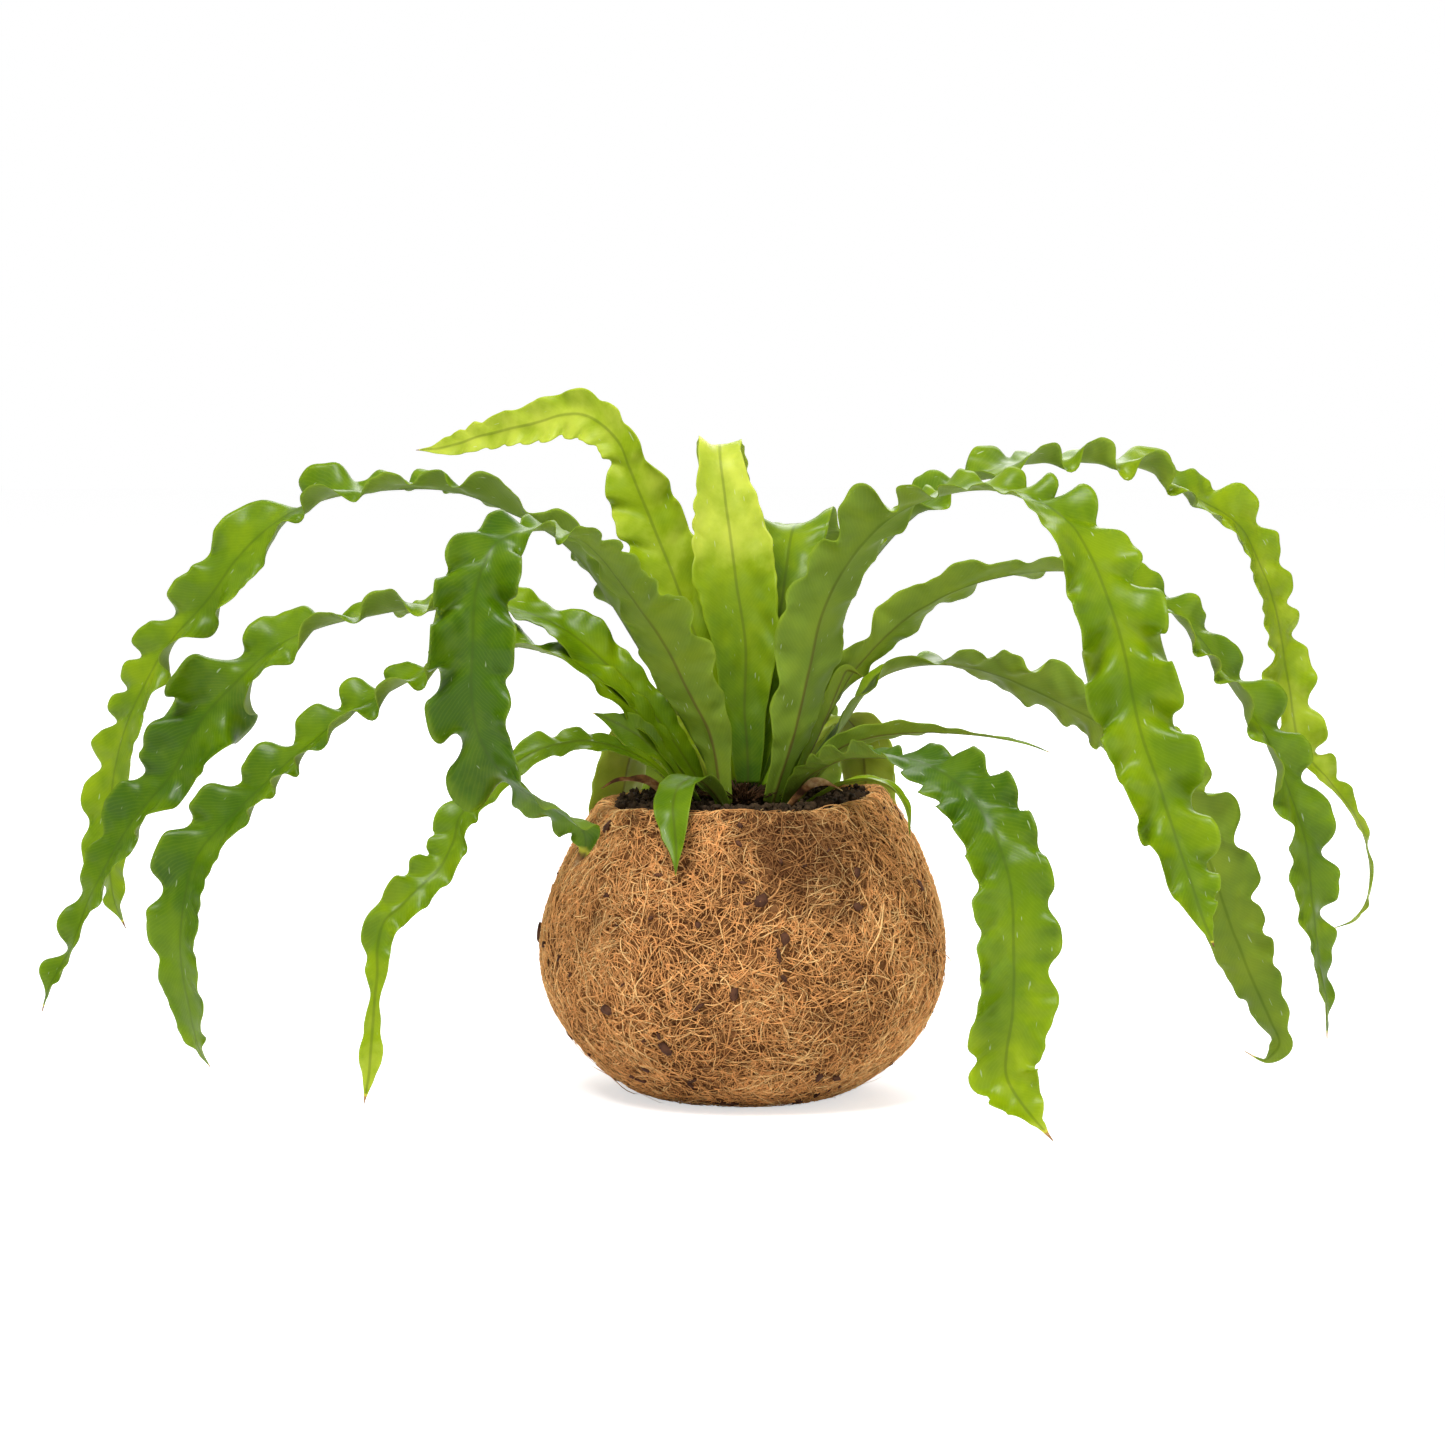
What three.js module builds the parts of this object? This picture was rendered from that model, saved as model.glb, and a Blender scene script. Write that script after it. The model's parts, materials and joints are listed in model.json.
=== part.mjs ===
// Bird's-nest fern in a pressed coconut-fibre ball pot: pot, soil, crown, living fronds, two dead ones.
// Units are millimetres, +Z is up. The origin is the middle of the pot's flat base, on the floor.
// -Y is the front of the plant and +X its right-hand side.
import * as THREE from 'three';

// ---------- driving dimensions ----------
const POT_WIDTH = 150; // across the belly
const POT_HEIGHT = 110; // middle of the rim, which tilts and wanders
const BASE_WIDTH = 66; // flat underside
const MOUTH_WIDTH = 106; // outside of the rim
const BELLY_HEIGHT = 52; // where the pot is widest
const WALL = 7; // pressed fibre
const POT_FLOOR = 9; // thickness under the soil
const RIM_TILT = 2; // the rim is this much higher at the right than at the middle
const RIM_WANDER = 0.8; // unevenness of the rim's height
const RIM_ROUND = 1.65; // the rim's outer edge starts to round over this far below its top
const LUMP = 0.9; // unevenness of the pressed fibre
const LUMP_FADE = 12; // the unevenness fades out over this height above the flat base

const SOIL_GAP = 0.5; // soil to pot wall
const SOIL_DROP = 5; // soil surface below the middle of the rim, at the wall
const SOIL_MOUND = 3; // how much the soil rises to the crown
const REST_GAP = 0.3; // between pieces that rest on each other

const CROWN_WIDTH = 22; // scaly rootstock that the fronds stand round
const CROWN_HEIGHT = 5;

const FOLIAGE_SPREAD = 520; // from the leftmost to the rightmost frond
const FOLIAGE_RISE = 150; // highest frond above the rim
const BLADE_WIDTH = 28; // the widest fronds
const BLADE_THICKNESS = 1.2; // at the midrib
const BLADE_CUP = 0.22; // how far the two halves of a blade lift, as a share of its half width
const HANG_GAP = 6; // a frond that hangs over the rim keeps this far off the pot

const CHIP_SIZE = [7, 2.5, 8]; // husk chip on the belly: along the pot, out of it, upwards
const CHIP_HEIGHT = 60;

// ---------- mesh resolution ----------
const POT_SIDES = 40;
const OUTER_RINGS = 13;
const INNER_RINGS = 7;
const SOIL_RINGS = 5;
const RING_GAP = 0.02; // least share of the height between two rings of the soil
const FROND_STEP = 9.5; // distance between a frond's stations
const TIP_WIDTH = 0.05; // narrowest that a blade gets, as a share of the widest blade

// ---------- materials ----------
const finish = (color, roughness) => new THREE.MeshStandardMaterial({ color, roughness, metalness: 0 });
const coir = finish(0xa56f3c, 0.95);
const soil = finish(0x2a1c13, 1);
const scales = finish(0x3d2a18, 0.9);
const greenBlade = finish(0x5c8a1c, 0.45);
const youngBlade = finish(0xa9c23c, 0.45);
const deadBlade = finish(0x9a6236, 0.8);
const husk = finish(0x4a2a19, 0.9);

// ---------- pot ----------
// Outside radius of the pot at a height: a quick swell from the flat base to the belly,
// then a slower draw-in to the mouth.
function potRadius(height) {
  const belly = POT_WIDTH / 2;
  if (height < BELLY_HEIGHT) {
    const up = Math.max(height, 0) / BELLY_HEIGHT;
    return BASE_WIDTH / 2 + (belly - BASE_WIDTH / 2) * Math.sin((Math.PI / 2) * up ** 0.7);
  }
  const up = Math.min((height - BELLY_HEIGHT) / (POT_HEIGHT - BELLY_HEIGHT), 1);
  return belly - (belly - MOUTH_WIDTH / 2) * up ** 2;
}

// Unevenness round the pot; it fades out at the flat base.
function lump(angle, height) {
  const fade = Math.min(height / LUMP_FADE, 1);
  return LUMP * fade * (Math.sin(3 * angle + height / 19) + 0.7 * Math.sin(5 * angle - height / 13 + 2));
}

function rimHeight(angle) {
  const wander = Math.sin(3 * angle + 1) + 0.6 * Math.sin(7 * angle);
  return POT_HEIGHT + RIM_TILT * Math.cos(angle) + RIM_WANDER * wander;
}

// A closed skin over rings of points. The first and last rings close on a middle point.
function closeRings(rings, firstMiddle, lastMiddle) {
  const sides = rings[0].length;
  const points = rings.flat();
  const faces = [];
  for (let ring = 0; ring < rings.length - 1; ring += 1) {
    for (let side = 0; side < sides; side += 1) {
      const a = ring * sides + side;
      const b = ring * sides + ((side + 1) % sides);
      faces.push(a, b, b + sides, a, b + sides, a + sides);
    }
  }
  points.push(firstMiddle, lastMiddle);
  const last = (rings.length - 1) * sides;
  for (let side = 0; side < sides; side += 1) {
    const next = (side + 1) % sides;
    faces.push(points.length - 2, next, side);
    faces.push(points.length - 1, last + side, last + next);
  }
  const geometry = new THREE.BufferGeometry().setFromPoints(points);
  geometry.setIndex(faces);
  geometry.computeVertexNormals();
  return geometry;
}

// One ring of the pot: a share of the way up the rim's own height, moved in by an inset.
function potRing(share, inset, floor = 0) {
  return Array.from({ length: POT_SIDES }, (_, side) => {
    const angle = (side / POT_SIDES) * 2 * Math.PI;
    const height = floor + share * (rimHeight(angle) - floor);
    const levelHeight = floor + share * (POT_HEIGHT - floor);
    const radius = potRadius(levelHeight) + lump(angle, height) - inset;
    return new THREE.Vector3(radius * Math.cos(angle), radius * Math.sin(angle), height);
  });
}

// How far up the inner skin's rings lie, from the pot's floor to just under the rim.
const INNER_TOP = 0.98;
const INNER_SHARES = Array.from({ length: INNER_RINGS + 1 }, (_, i) => (INNER_TOP * i) / INNER_RINGS);

// The outer skin's rings lie closer together near the flat base, where the pot curves most.
function coirPot() {
  const roundOver = 1 - RIM_ROUND / POT_HEIGHT;
  const rings = [];
  for (let i = 0; i <= OUTER_RINGS; i += 1) {
    rings.push(potRing((i / OUTER_RINGS) ** 1.25 * roundOver, 0));
  }
  rings.push(potRing(1, WALL / 4));
  rings.push(potRing(1, (WALL * 3) / 4));
  for (const share of [...INNER_SHARES].reverse()) {
    rings.push(potRing(share, WALL, POT_FLOOR));
  }
  const geometry = closeRings(rings, new THREE.Vector3(0, 0, 0), new THREE.Vector3(0, 0, POT_FLOOR));
  return new THREE.Mesh(geometry, coir);
}

// ---------- soil and crown ----------
const soilEdge = POT_HEIGHT - SOIL_DROP;

function soilTop(radius) {
  const out = Math.min(radius / (MOUTH_WIDTH / 2 - WALL), 1);
  return soilEdge + SOIL_MOUND * Math.cos((Math.PI / 2) * out) ** 2;
}

// The soil fills the pot: it follows the pot's inner skin at a gap, up to its own top edge, and
// closes in a low mound. The skin is flat between its rings, so the top edge stands in a little more.
function pottingSoil() {
  const inset = WALL + SOIL_GAP;
  const depth = POT_HEIGHT - POT_FLOOR;
  const topShare = (soilEdge - POT_FLOOR) / depth;
  const rings = [potRing(SOIL_GAP / depth, inset, POT_FLOOR)];
  for (const share of INNER_SHARES.filter((each) => each > 0 && each < topShare - RING_GAP)) {
    rings.push(potRing(share, inset, POT_FLOOR));
  }
  rings.push(potRing(topShare, inset + LUMP, POT_FLOOR));
  const edge = potRadius(soilEdge) - inset;
  for (let i = 1; i < SOIL_RINGS; i += 1) {
    const radius = edge * (1 - i / SOIL_RINGS);
    rings.push(Array.from({ length: POT_SIDES }, (_, side) => {
      const angle = (side / POT_SIDES) * 2 * Math.PI;
      return new THREE.Vector3(radius * Math.cos(angle), radius * Math.sin(angle), soilTop(radius));
    }));
  }
  const bottom = new THREE.Vector3(0, 0, POT_FLOOR + SOIL_GAP);
  return new THREE.Mesh(closeRings(rings, bottom, new THREE.Vector3(0, 0, soilTop(0))), soil);
}

function fernCrown() {
  const half = CROWN_WIDTH / 2;
  const outline = [[0, 0], [0.82, 0], [1, 0.3], [0.92, 0.65], [0.6, 0.9], [0, 1]];
  const profile = outline.map(([out, up]) => new THREE.Vector2(out * half, up * CROWN_HEIGHT));
  const geometry = new THREE.LatheGeometry(profile, 20);
  const mesh = new THREE.Mesh(geometry, scales);
  mesh.rotation.x = Math.PI / 2;
  mesh.position.z = soilTop(0) + REST_GAP;
  return mesh;
}

// ---------- fronds ----------
// A frond leaves the crown on a heading (degrees from the right, anticlockwise seen from above).
// Its midrib's route is [reach, rise, sway, turn, width]: reach outwards from the crown's edge along
// the heading, rise above the rim, sway to the left of the heading, turn of the blade about its own
// midrib in degrees, and width as a share of the widest blade. They are drawn for a plant of the
// spread, rise and pot height below.
const DRAWN = { spread: 520, rise: 150, potHeight: 110 };

const FRONDS = {
  frond_front_left: { heading: 226, route: [
    [3, 0, 3, 20, 0.25], [7, 24, 1, 25, 0.6], [19, 44, 0, 25, 0.85], [32, 63, 0, 20, 0.95],
    [53, 86, 0, 12, 0.95], [73, 101, 0, 5, 0.85], [98, 105, 0, -5, 0.65], [116, 99, 0, -20, 0.8],
    [124, 84, 0, -35, 1], [126, 63, 0, -38, 1], [124, 46, -2, -38, 0.95], [119, 30, -2, -30, 0.9],
    [106, 15, 0, -20, 0.9], [89, 3, 4, -15, 0.8], [78, -6, 8, -20, 0.45], [82, -18, 3, -30, 0.1]] },
  frond_front_right: { heading: -40, route: [
    [3, 0, 0, -20, 0.25], [12, 24, 0, -25, 0.6], [20, 51, 0, -25, 0.9], [28, 73, 0, -22, 0.95],
    [40, 92, 0, -18, 0.95], [56, 107, 0, -12, 0.95], [76, 116, 0, -4, 0.9], [97, 119, 0, 4, 0.7],
    [118, 116, 0, 15, 0.75], [137, 108, 0, 30, 0.95], [148, 94, 0, 42, 1.05], [157, 74, 0, 45, 1.05],
    [163, 54, 0, 45, 1.05], [170, 33, 0, 42, 1], [179, 9, 0, 40, 0.9], [189, -14, 0, 38, 0.7],
    [199, -36, 0, 35, 0.15]] },
  frond_middle_tall: { heading: 90, route: [
    [-6, 6, -2, 0, 0.3], [-3, 42, -1, 0, 0.7], [2, 72, 1, 0, 1], [7, 97, 4, 0, 1],
    [12, 117, 7, 0, 0.78], [17, 129, 9, 0, 0.62], [24, 132, 9, 0, 0.6], [36, 127, 9, 0, 0.65],
    [51, 108, 6, 0, 0.65], [65, 79, 3, 0, 0.6], [73, 50, 0, 0, 0.4], [77, 28, -2, 0, 0.1]] },
  frond_tall_left: { heading: 152, route: [
    [-4, 6, -5, -30, 0.25], [3, 37, -5, -40, 0.55], [15, 67, -5, -50, 0.85], [27, 97, -4, -55, 0.95],
    [36, 119, -2, -55, 0.85], [43, 135, 0, -40, 0.5], [59, 144, 0, -30, 0.62], [80, 141, 0, -30, 0.6],
    [104, 136, 0, -25, 0.42], [122, 131, 0, -15, 0.25], [133, 130, 0, 0, 0.08]] },
  frond_left_high: { heading: 166, route: [
    [-2, 5, 0, 0, 0.25], [20, 44, 0, 10, 0.6], [41, 75, 0, 15, 0.85], [60, 97, 0, 20, 0.95],
    [84, 109, 0, 20, 0.95], [108, 116, 0, 10, 0.9], [132, 116, 0, -5, 0.9], [156, 112, 0, -15, 0.9],
    [174, 102, 0, -30, 0.95], [189, 89, 0, -35, 0.95], [202, 72, 0, -25, 0.8], [219, 55, 0, -25, 0.8],
    [230, 37, 0, -30, 0.8], [238, 19, 0, -35, 0.85], [243, -3, 0, -40, 0.8], [244, -26, 0, -35, 0.7],
    [242, -46, 0, -30, 0.5], [238, -57, 0, -20, 0.12]] },
  frond_left_middle: { heading: 174, route: [
    [2, 1, 0, 0, 0.22], [20, 28, 0, 0, 0.5], [39, 49, 0, 0, 0.7], [58, 64, 0, 5, 0.8],
    [81, 72, 0, 5, 0.85], [108, 73, 0, 0, 0.85], [131, 69, 0, -5, 0.85], [150, 64, 0, -10, 0.85],
    [168, 55, 0, -28, 0.95], [183, 42, 0, -60, 1.1], [198, 25, 0, -75, 1.15], [209, 7, 0, -68, 1],
    [222, -8, 0, -50, 0.8], [233, -26, 0, -40, 0.7], [242, -43, 0, -35, 0.55], [248, -59, 0, -25, 0.4],
    [257, -76, 0, -30, 0.3], [260, -85, 0, -30, 0.08]] },
  frond_left_low: { heading: 184, route: [
    [5.5, 0, 0, 0, 0.22], [24, 27, 0, 0, 0.5], [43, 45, 0, 0, 0.65], [61, 56, 0, 0, 0.75],
    [84, 59, 0, -5, 0.75], [102, 52, 0, -5, 0.75], [120, 43, 0, -5, 0.75], [137, 33, 0, -5, 0.75],
    [154, 20, 0, -10, 0.8], [168, 7, 0, -15, 0.85], [182, -7, 0, -28, 0.9], [193, -21, 0, -40, 0.9],
    [198, -40, 0, -45, 0.88], [199, -58, 0, -45, 0.85], [196, -77, 0, -42, 0.75], [193, -92, 0, -30, 0.5],
    [189, -99, 0, -10, 0.12]] },
  frond_left_short: { heading: 192, route: [
    [9, 0, 0, 0, 0.2], [21, 18, 0, -10, 0.35], [32, 27, 0, -15, 0.45], [41, 32, 0, -15, 0.42],
    [46, 34, 0, -10, 0.2]] },
  frond_left_thin: { heading: 203, route: [
    [12, 0, 1, 0, 0.18], [26, 15, 1, 0, 0.32], [42, 23, 0, 0, 0.4], [57, 25, 0, 0, 0.42],
    [73, 21, 0, -10, 0.45], [88, 10, 0, -20, 0.5], [101, -1, 0, -35, 0.55], [106, -16, 0, -40, 0.55],
    [120, -29, 0, -35, 0.5], [132, -41, 0, -45, 0.42], [133, -54, 0, -40, 0.35], [135, -66, 0, -60, 0.15],
    [136, -82, 0, -70, 0.3], [137, -95, 0, -60, 0.25], [139, -105, 0, -40, 0.06]] },
  frond_back_left: { heading: 128, route: [
    [6.5, 0, 0, 0, 0.2], [20, 17, 0, 0, 0.48], [38, 24, 0, 0, 0.7], [52, 24, 0, 0, 0.85],
    [62, 10, 0, 0, 0.95], [68, -10, 0, 0, 0.95], [73, -32, 0, 0, 0.8], [76, -52, 0, 0, 0.5],
    [76, -66, 0, 0, 0.12]] },
  frond_back_tall: { heading: 90, route: [
    [-1, 6, -3.5, 0, 0.22], [8, 42, -10.5, 0, 0.55], [15, 72, -14, 0, 0.85], [23, 92, -17, 5, 0.95],
    [34, 102, -20, 10, 0.95], [51, 100, -24, 5, 0.95], [69, 81, -27, 0, 0.9], [81, 52, -29, 0, 0.75],
    [87, 22, -30, 0, 0.5], [88, 2, -30, 0, 0.12]] },
  frond_back_middle: { heading: 104, route: [
    [6, 0, 0, 0, 0.22], [17, 26, 0, 0, 0.5], [35, 42, 0, 0, 0.8], [58, 46, 0, 0, 0.95],
    [84, 32, 0, 0, 1], [103, 4, 0, 0, 0.95], [112, -28, 0, 0, 0.8], [114, -56, 0, 0, 0.5],
    [112, -74, 0, 0, 0.12]] },
  frond_back_low: { heading: 74, route: [
    [7, 0, 0, 0, 0.22], [19, 18, 0, 0, 0.5], [38, 28, 0, 0, 0.75], [60, 26, 0, 0, 0.9],
    [78, 8, 0, 0, 0.9], [87, -18, 0, 0, 0.8], [92, -44, 0, 0, 0.55], [92, -60, 0, 0, 0.12]] },
  frond_back_right: { heading: 46, route: [
    [9, 0, 0, 0, 0.2], [27, 22, 0, 0, 0.5], [45, 28, -1, 0, 0.8], [54, 20, -1, 0, 0.85],
    [58, 4, 0, 0, 0.8], [64, -20, 0, 0, 0.7], [70, -42, 0, 0, 0.45], [72, -55, 0, 0, 0.12]] },
  frond_right_high: { heading: 16, route: [
    [-2, 5, 0, 0, 0.25], [15, 37, 0, 0, 0.55], [30, 77, 0, 0, 0.8], [50, 101, 0, 0, 0.9],
    [70, 115, 0, 0, 0.9], [90, 123, 0, 0, 0.9], [110, 127, 0, 5, 0.9], [130, 126, 0, 5, 0.9],
    [151, 123, 0, 10, 0.9], [172, 112, 0, 22, 0.9], [189, 101, 0, 35, 0.9], [199, 82, 0, 42, 0.8],
    [206, 61, 0, 45, 0.78], [212, 37, 0, 45, 0.75], [216, 15, 0, 40, 0.6], [229, -1, 0, 20, 0.42],
    [242, -19, 0, 15, 0.35], [247, -38, 0, 10, 0.22], [243, -52, 0, 0, 0.13], [231, -58, 0, 0, 0.05]] },
  frond_right_middle: { heading: 2, route: [
    [2.5, 2, 0, 0, 0.22], [16, 25, 0, -10, 0.45], [29, 48, 0, -22, 0.65], [48, 67, 0, -30, 0.8],
    [67, 78, 0, -30, 0.85], [86, 84, 0, -20, 0.8], [108, 86, 0, -8, 0.75], [131, 82, 0, 5, 0.75],
    [148, 72, 0, 15, 0.75], [161, 60, 0, 28, 0.85], [173, 43, 0, 32, 0.85], [185, 26, 0, 32, 0.85],
    [194, 7, 0, 32, 0.85], [202, -16, 0, 32, 0.85], [204, -39, 0, 30, 0.8], [207, -62, 0, 25, 0.6],
    [210, -78, 0, 20, 0.4], [211, -92, 0, 10, 0.08]] },
  frond_right_inner: { heading: -12, route: [
    [4.5, 0, 0, 0, 0.18], [15, 20, 1.5, -15, 0.28], [22, 37, 2.5, -25, 0.32], [27, 49, 2.5, -30, 0.34],
    [31, 51, 3, -30, 0.28], [34, 47, 5, -30, 0.1]] },
  frond_right_low: { heading: 8, route: [
    [7, 0, 0, 0, 0.2], [17, 14, 1, 0, 0.35], [28, 30, 2, -5, 0.45], [41, 46, 1, -10, 0.55],
    [59, 51, 0, -15, 0.7], [79, 49, 0, -28, 0.85], [98, 42, 0, -36, 0.95], [118, 32, 0, -42, 1],
    [138, 19, 0, -50, 1.05], [153, 4, 0, -55, 1.1], [165, -15, 0, -58, 1.1], [173, -34, 0, -55, 1.05],
    [179, -53, 0, -50, 0.9], [186, -71, 0, -45, 0.75], [193, -86, 0, -40, 0.55], [198, -99, 0, -30, 0.35],
    [192, -104, 0, -20, 0.18], [184, -100, 0, 0, 0.06]] },
  frond_right_thin: { heading: -20, route: [
    [10, 0, 2, 0, 0.18], [26, 20, 1, -15, 0.4], [42, 26, 0, -15, 0.4], [58, 28, 0, -10, 0.35],
    [73, 28, 0, -10, 0.28], [88, 27, 0, -5, 0.18], [99, 25, 0, 0, 0.1], [108, 22, 0, 0, 0.05]] },
  frond_front_low: { heading: -55, route: [
    [9, 0, 6.5, 0, 0.22], [24, 13, 5, 0, 0.5], [46, 20, 2, 0, 0.6], [69, 23, 0, 0, 0.6],
    [91, 24, 0, 10, 0.7], [111, 20, 0, 25, 0.85], [128, 11, 0, 32, 0.95], [142, -4, 0, 35, 1],
    [149, -20, 0, 35, 1], [151, -41, 0, 35, 1], [149, -62, 0, 35, 0.95], [147, -81, 0, 30, 0.8],
    [154, -92, 2, 10, 0.5], [166, -102, 5, 0, 0.12]] },
  frond_rim_right: { heading: -27, route: [
    [15, 0, 0, 0, 0.12], [27, 7, 0, 0, 0.2], [38, 11, 0, 0, 0.2], [49, 9, 0, 0, 0.18],
    [56, 0, 0, 0, 0.2], [58, -10, 0, 0, 0.07]] },
  frond_rim_front: { heading: 240, route: [
    [10, 0, 4, 0, 0.2], [21, 11, 1, 0, 0.45], [34, 10, 0, 0, 0.55], [46, 2, 4, 0, 0.5],
    [52, -9, 9, 0, 0.35], [54, -20, 13, 0, 0.08]] },
};

// Young fronds are yellow-green, and dried ones brown.
const YOUNG = ['frond_middle_tall', 'frond_tall_left'];

const DEAD_FRONDS = {
  dead_frond_left: { heading: 196, route: [
    [16, 0, 0, 10, 0.15], [27, 8, 0, 20, 0.24], [38, 9, 0, 30, 0.24], [44, 6, 0, 40, 0.08]] },
  dead_frond_right: { heading: -36, route: [
    [14, 0, -5, 0, 0.12], [22, 7, -4, -10, 0.2], [30, 9, -4, -20, 0.2], [37, 7, -4, -20, 0.08]] },
};

// Where a route's point lies on this plant. Over and below the rim, a frond keeps off the pot.
function spot([reach, rise, sway], course) {
  const wide = FOLIAGE_SPREAD / DRAWN.spread;
  const tall = rise > 0 ? FOLIAGE_RISE / DRAWN.rise : POT_HEIGHT / DRAWN.potHeight;
  const height = POT_HEIGHT + rise * tall;
  const out = CROWN_WIDTH / 2 + reach * wide;
  const hangs = out > MOUTH_WIDTH / 2 - WALL - HANG_GAP && height < POT_HEIGHT + HANG_GAP;
  const clear = hangs ? Math.max(out, potRadius(height) + HANG_GAP) : out;
  const ahead = new THREE.Vector3(Math.cos(course), Math.sin(course), 0);
  const aside = new THREE.Vector3(-Math.sin(course), Math.cos(course), 0);
  return new THREE.Vector3(0, 0, height).addScaledVector(ahead, clear).addScaledVector(aside, sway * wide);
}

// A blade is a thin ribbon round its midrib: at each station a left edge, the top of the midrib,
// a right edge and the underside of the midrib, with both halves lifted into a shallow trough.
function frond({ heading, route }, material) {
  const course = THREE.MathUtils.degToRad(heading);
  const midrib = new THREE.CatmullRomCurve3(route.map((point) => spot(point, course)));
  const blade = new THREE.CatmullRomCurve3(
    route.map(([, , , turn, width]) => new THREE.Vector3(turn, width, 0)));
  const stations = Math.max(Math.round(midrib.getLength() / FROND_STEP), 5);
  const rings = [];
  for (let station = 0; station <= stations; station += 1) {
    const along = midrib.getUtoTmapping(station / stations);
    const middle = midrib.getPoint(along);
    const forward = midrib.getTangent(along);
    const { x: turn, y: width } = blade.getPoint(along);
    const left = new THREE.Vector3(-Math.sin(course), Math.cos(course), 0);
    left.addScaledVector(forward, -left.dot(forward)).normalize();
    left.applyAxisAngle(forward, THREE.MathUtils.degToRad(turn));
    const up = new THREE.Vector3().crossVectors(forward, left);
    const half = (Math.max(width, TIP_WIDTH) * BLADE_WIDTH) / 2;
    const lift = half * BLADE_CUP;
    rings.push([
      middle.clone().addScaledVector(left, half).addScaledVector(up, lift),
      middle.clone().addScaledVector(up, BLADE_THICKNESS / 2),
      middle.clone().addScaledVector(left, -half).addScaledVector(up, lift),
      middle.clone().addScaledVector(up, -BLADE_THICKNESS / 2),
    ]);
  }
  return new THREE.Mesh(closeRibbon(rings), material);
}

// The skin of a ribbon, with both ends closed flat. Top and underside are split along the same
// diagonals, so that they stay a constant distance apart where the ribbon twists.
function closeRibbon(rings) {
  const points = rings.flat();
  const faces = [];
  for (let ring = 0; ring < rings.length - 1; ring += 1) {
    for (let side = 0; side < 4; side += 1) {
      const a = ring * 4 + side;
      const b = ring * 4 + ((side + 1) % 4);
      const top = side < 2;
      faces.push(...(top ? [a, b, b + 4, a, b + 4, a + 4] : [a, b, a + 4, b, b + 4, a + 4]));
    }
  }
  const last = points.length - 4;
  faces.push(0, 3, 1, 1, 3, 2);
  faces.push(last, last + 1, last + 3, last + 1, last + 2, last + 3);
  const geometry = new THREE.BufferGeometry().setFromPoints(points);
  geometry.setIndex(faces);
  geometry.computeVertexNormals();
  return geometry;
}

// ---------- husk chip ----------
// A dark chip of husk that stands off the left side of the belly.
function huskChip() {
  const [along, out, up] = CHIP_SIZE;
  const mesh = new THREE.Mesh(new THREE.BoxGeometry(out, along, up), husk);
  const skin = potRadius(CHIP_HEIGHT) + lump(Math.PI, CHIP_HEIGHT);
  mesh.position.set(-(skin + out / 2 + REST_GAP), 0, CHIP_HEIGHT);
  return mesh;
}

// ---------- assembly ----------
const fern = new THREE.Group();

function add(name, mesh) {
  mesh.name = name;
  fern.add(mesh);
}

add('coir_pot', coirPot());
add('potting_soil', pottingSoil());
add('fern_crown', fernCrown());
for (const [name, plan] of Object.entries(FRONDS)) {
  add(name, frond(plan, YOUNG.includes(name) ? youngBlade : greenBlade));
}
for (const [name, plan] of Object.entries(DEAD_FRONDS)) {
  add(name, frond(plan, deadBlade));
}
add('husk_chip', huskChip());

export default fern;
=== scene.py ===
"""A bird's-nest fern in a ball-shaped pot of pressed coconut fibre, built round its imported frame.

Sizes are in metres, +Z is up, -Y is the front of the plant and +X its right-hand side.
"""

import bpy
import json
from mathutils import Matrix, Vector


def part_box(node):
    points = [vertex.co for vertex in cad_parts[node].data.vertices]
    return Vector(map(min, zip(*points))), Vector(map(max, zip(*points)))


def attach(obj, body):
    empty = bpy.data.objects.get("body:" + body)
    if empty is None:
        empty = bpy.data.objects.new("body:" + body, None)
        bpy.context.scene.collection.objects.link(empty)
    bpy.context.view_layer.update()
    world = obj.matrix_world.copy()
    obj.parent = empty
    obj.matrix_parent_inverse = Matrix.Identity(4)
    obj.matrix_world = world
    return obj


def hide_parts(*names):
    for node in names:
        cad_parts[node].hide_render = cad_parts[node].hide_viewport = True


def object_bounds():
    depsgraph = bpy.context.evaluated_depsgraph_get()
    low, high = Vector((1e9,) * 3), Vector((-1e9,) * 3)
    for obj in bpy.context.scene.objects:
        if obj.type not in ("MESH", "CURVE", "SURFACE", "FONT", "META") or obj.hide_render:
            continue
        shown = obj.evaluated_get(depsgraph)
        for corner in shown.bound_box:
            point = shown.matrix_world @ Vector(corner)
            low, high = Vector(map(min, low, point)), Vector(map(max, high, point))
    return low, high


bl_info = {
    "name": "Fern Kokedama",
    "version": (1, 0, 0),
    "blender": (4, 5, 0),
    "location": "View3D > Sidebar > Kokedama",
    "description": "Builds a wavy bird's-nest fern in a coconut-fibre ball pot round its CAD frame",
    "category": "Object",
}

import json
import math

import bpy
import numpy as np
from bpy.props import FloatProperty, FloatVectorProperty, IntProperty, PointerProperty
from mathutils import Vector, noise
from mathutils.bvhtree import BVHTree

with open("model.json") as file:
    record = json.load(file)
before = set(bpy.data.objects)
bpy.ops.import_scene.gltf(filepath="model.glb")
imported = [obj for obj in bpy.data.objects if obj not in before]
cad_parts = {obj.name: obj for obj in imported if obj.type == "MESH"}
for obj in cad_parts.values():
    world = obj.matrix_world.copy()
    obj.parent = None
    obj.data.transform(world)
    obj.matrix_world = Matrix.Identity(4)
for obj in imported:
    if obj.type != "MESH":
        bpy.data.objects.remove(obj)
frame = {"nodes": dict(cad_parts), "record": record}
CAD_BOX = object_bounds()

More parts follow.
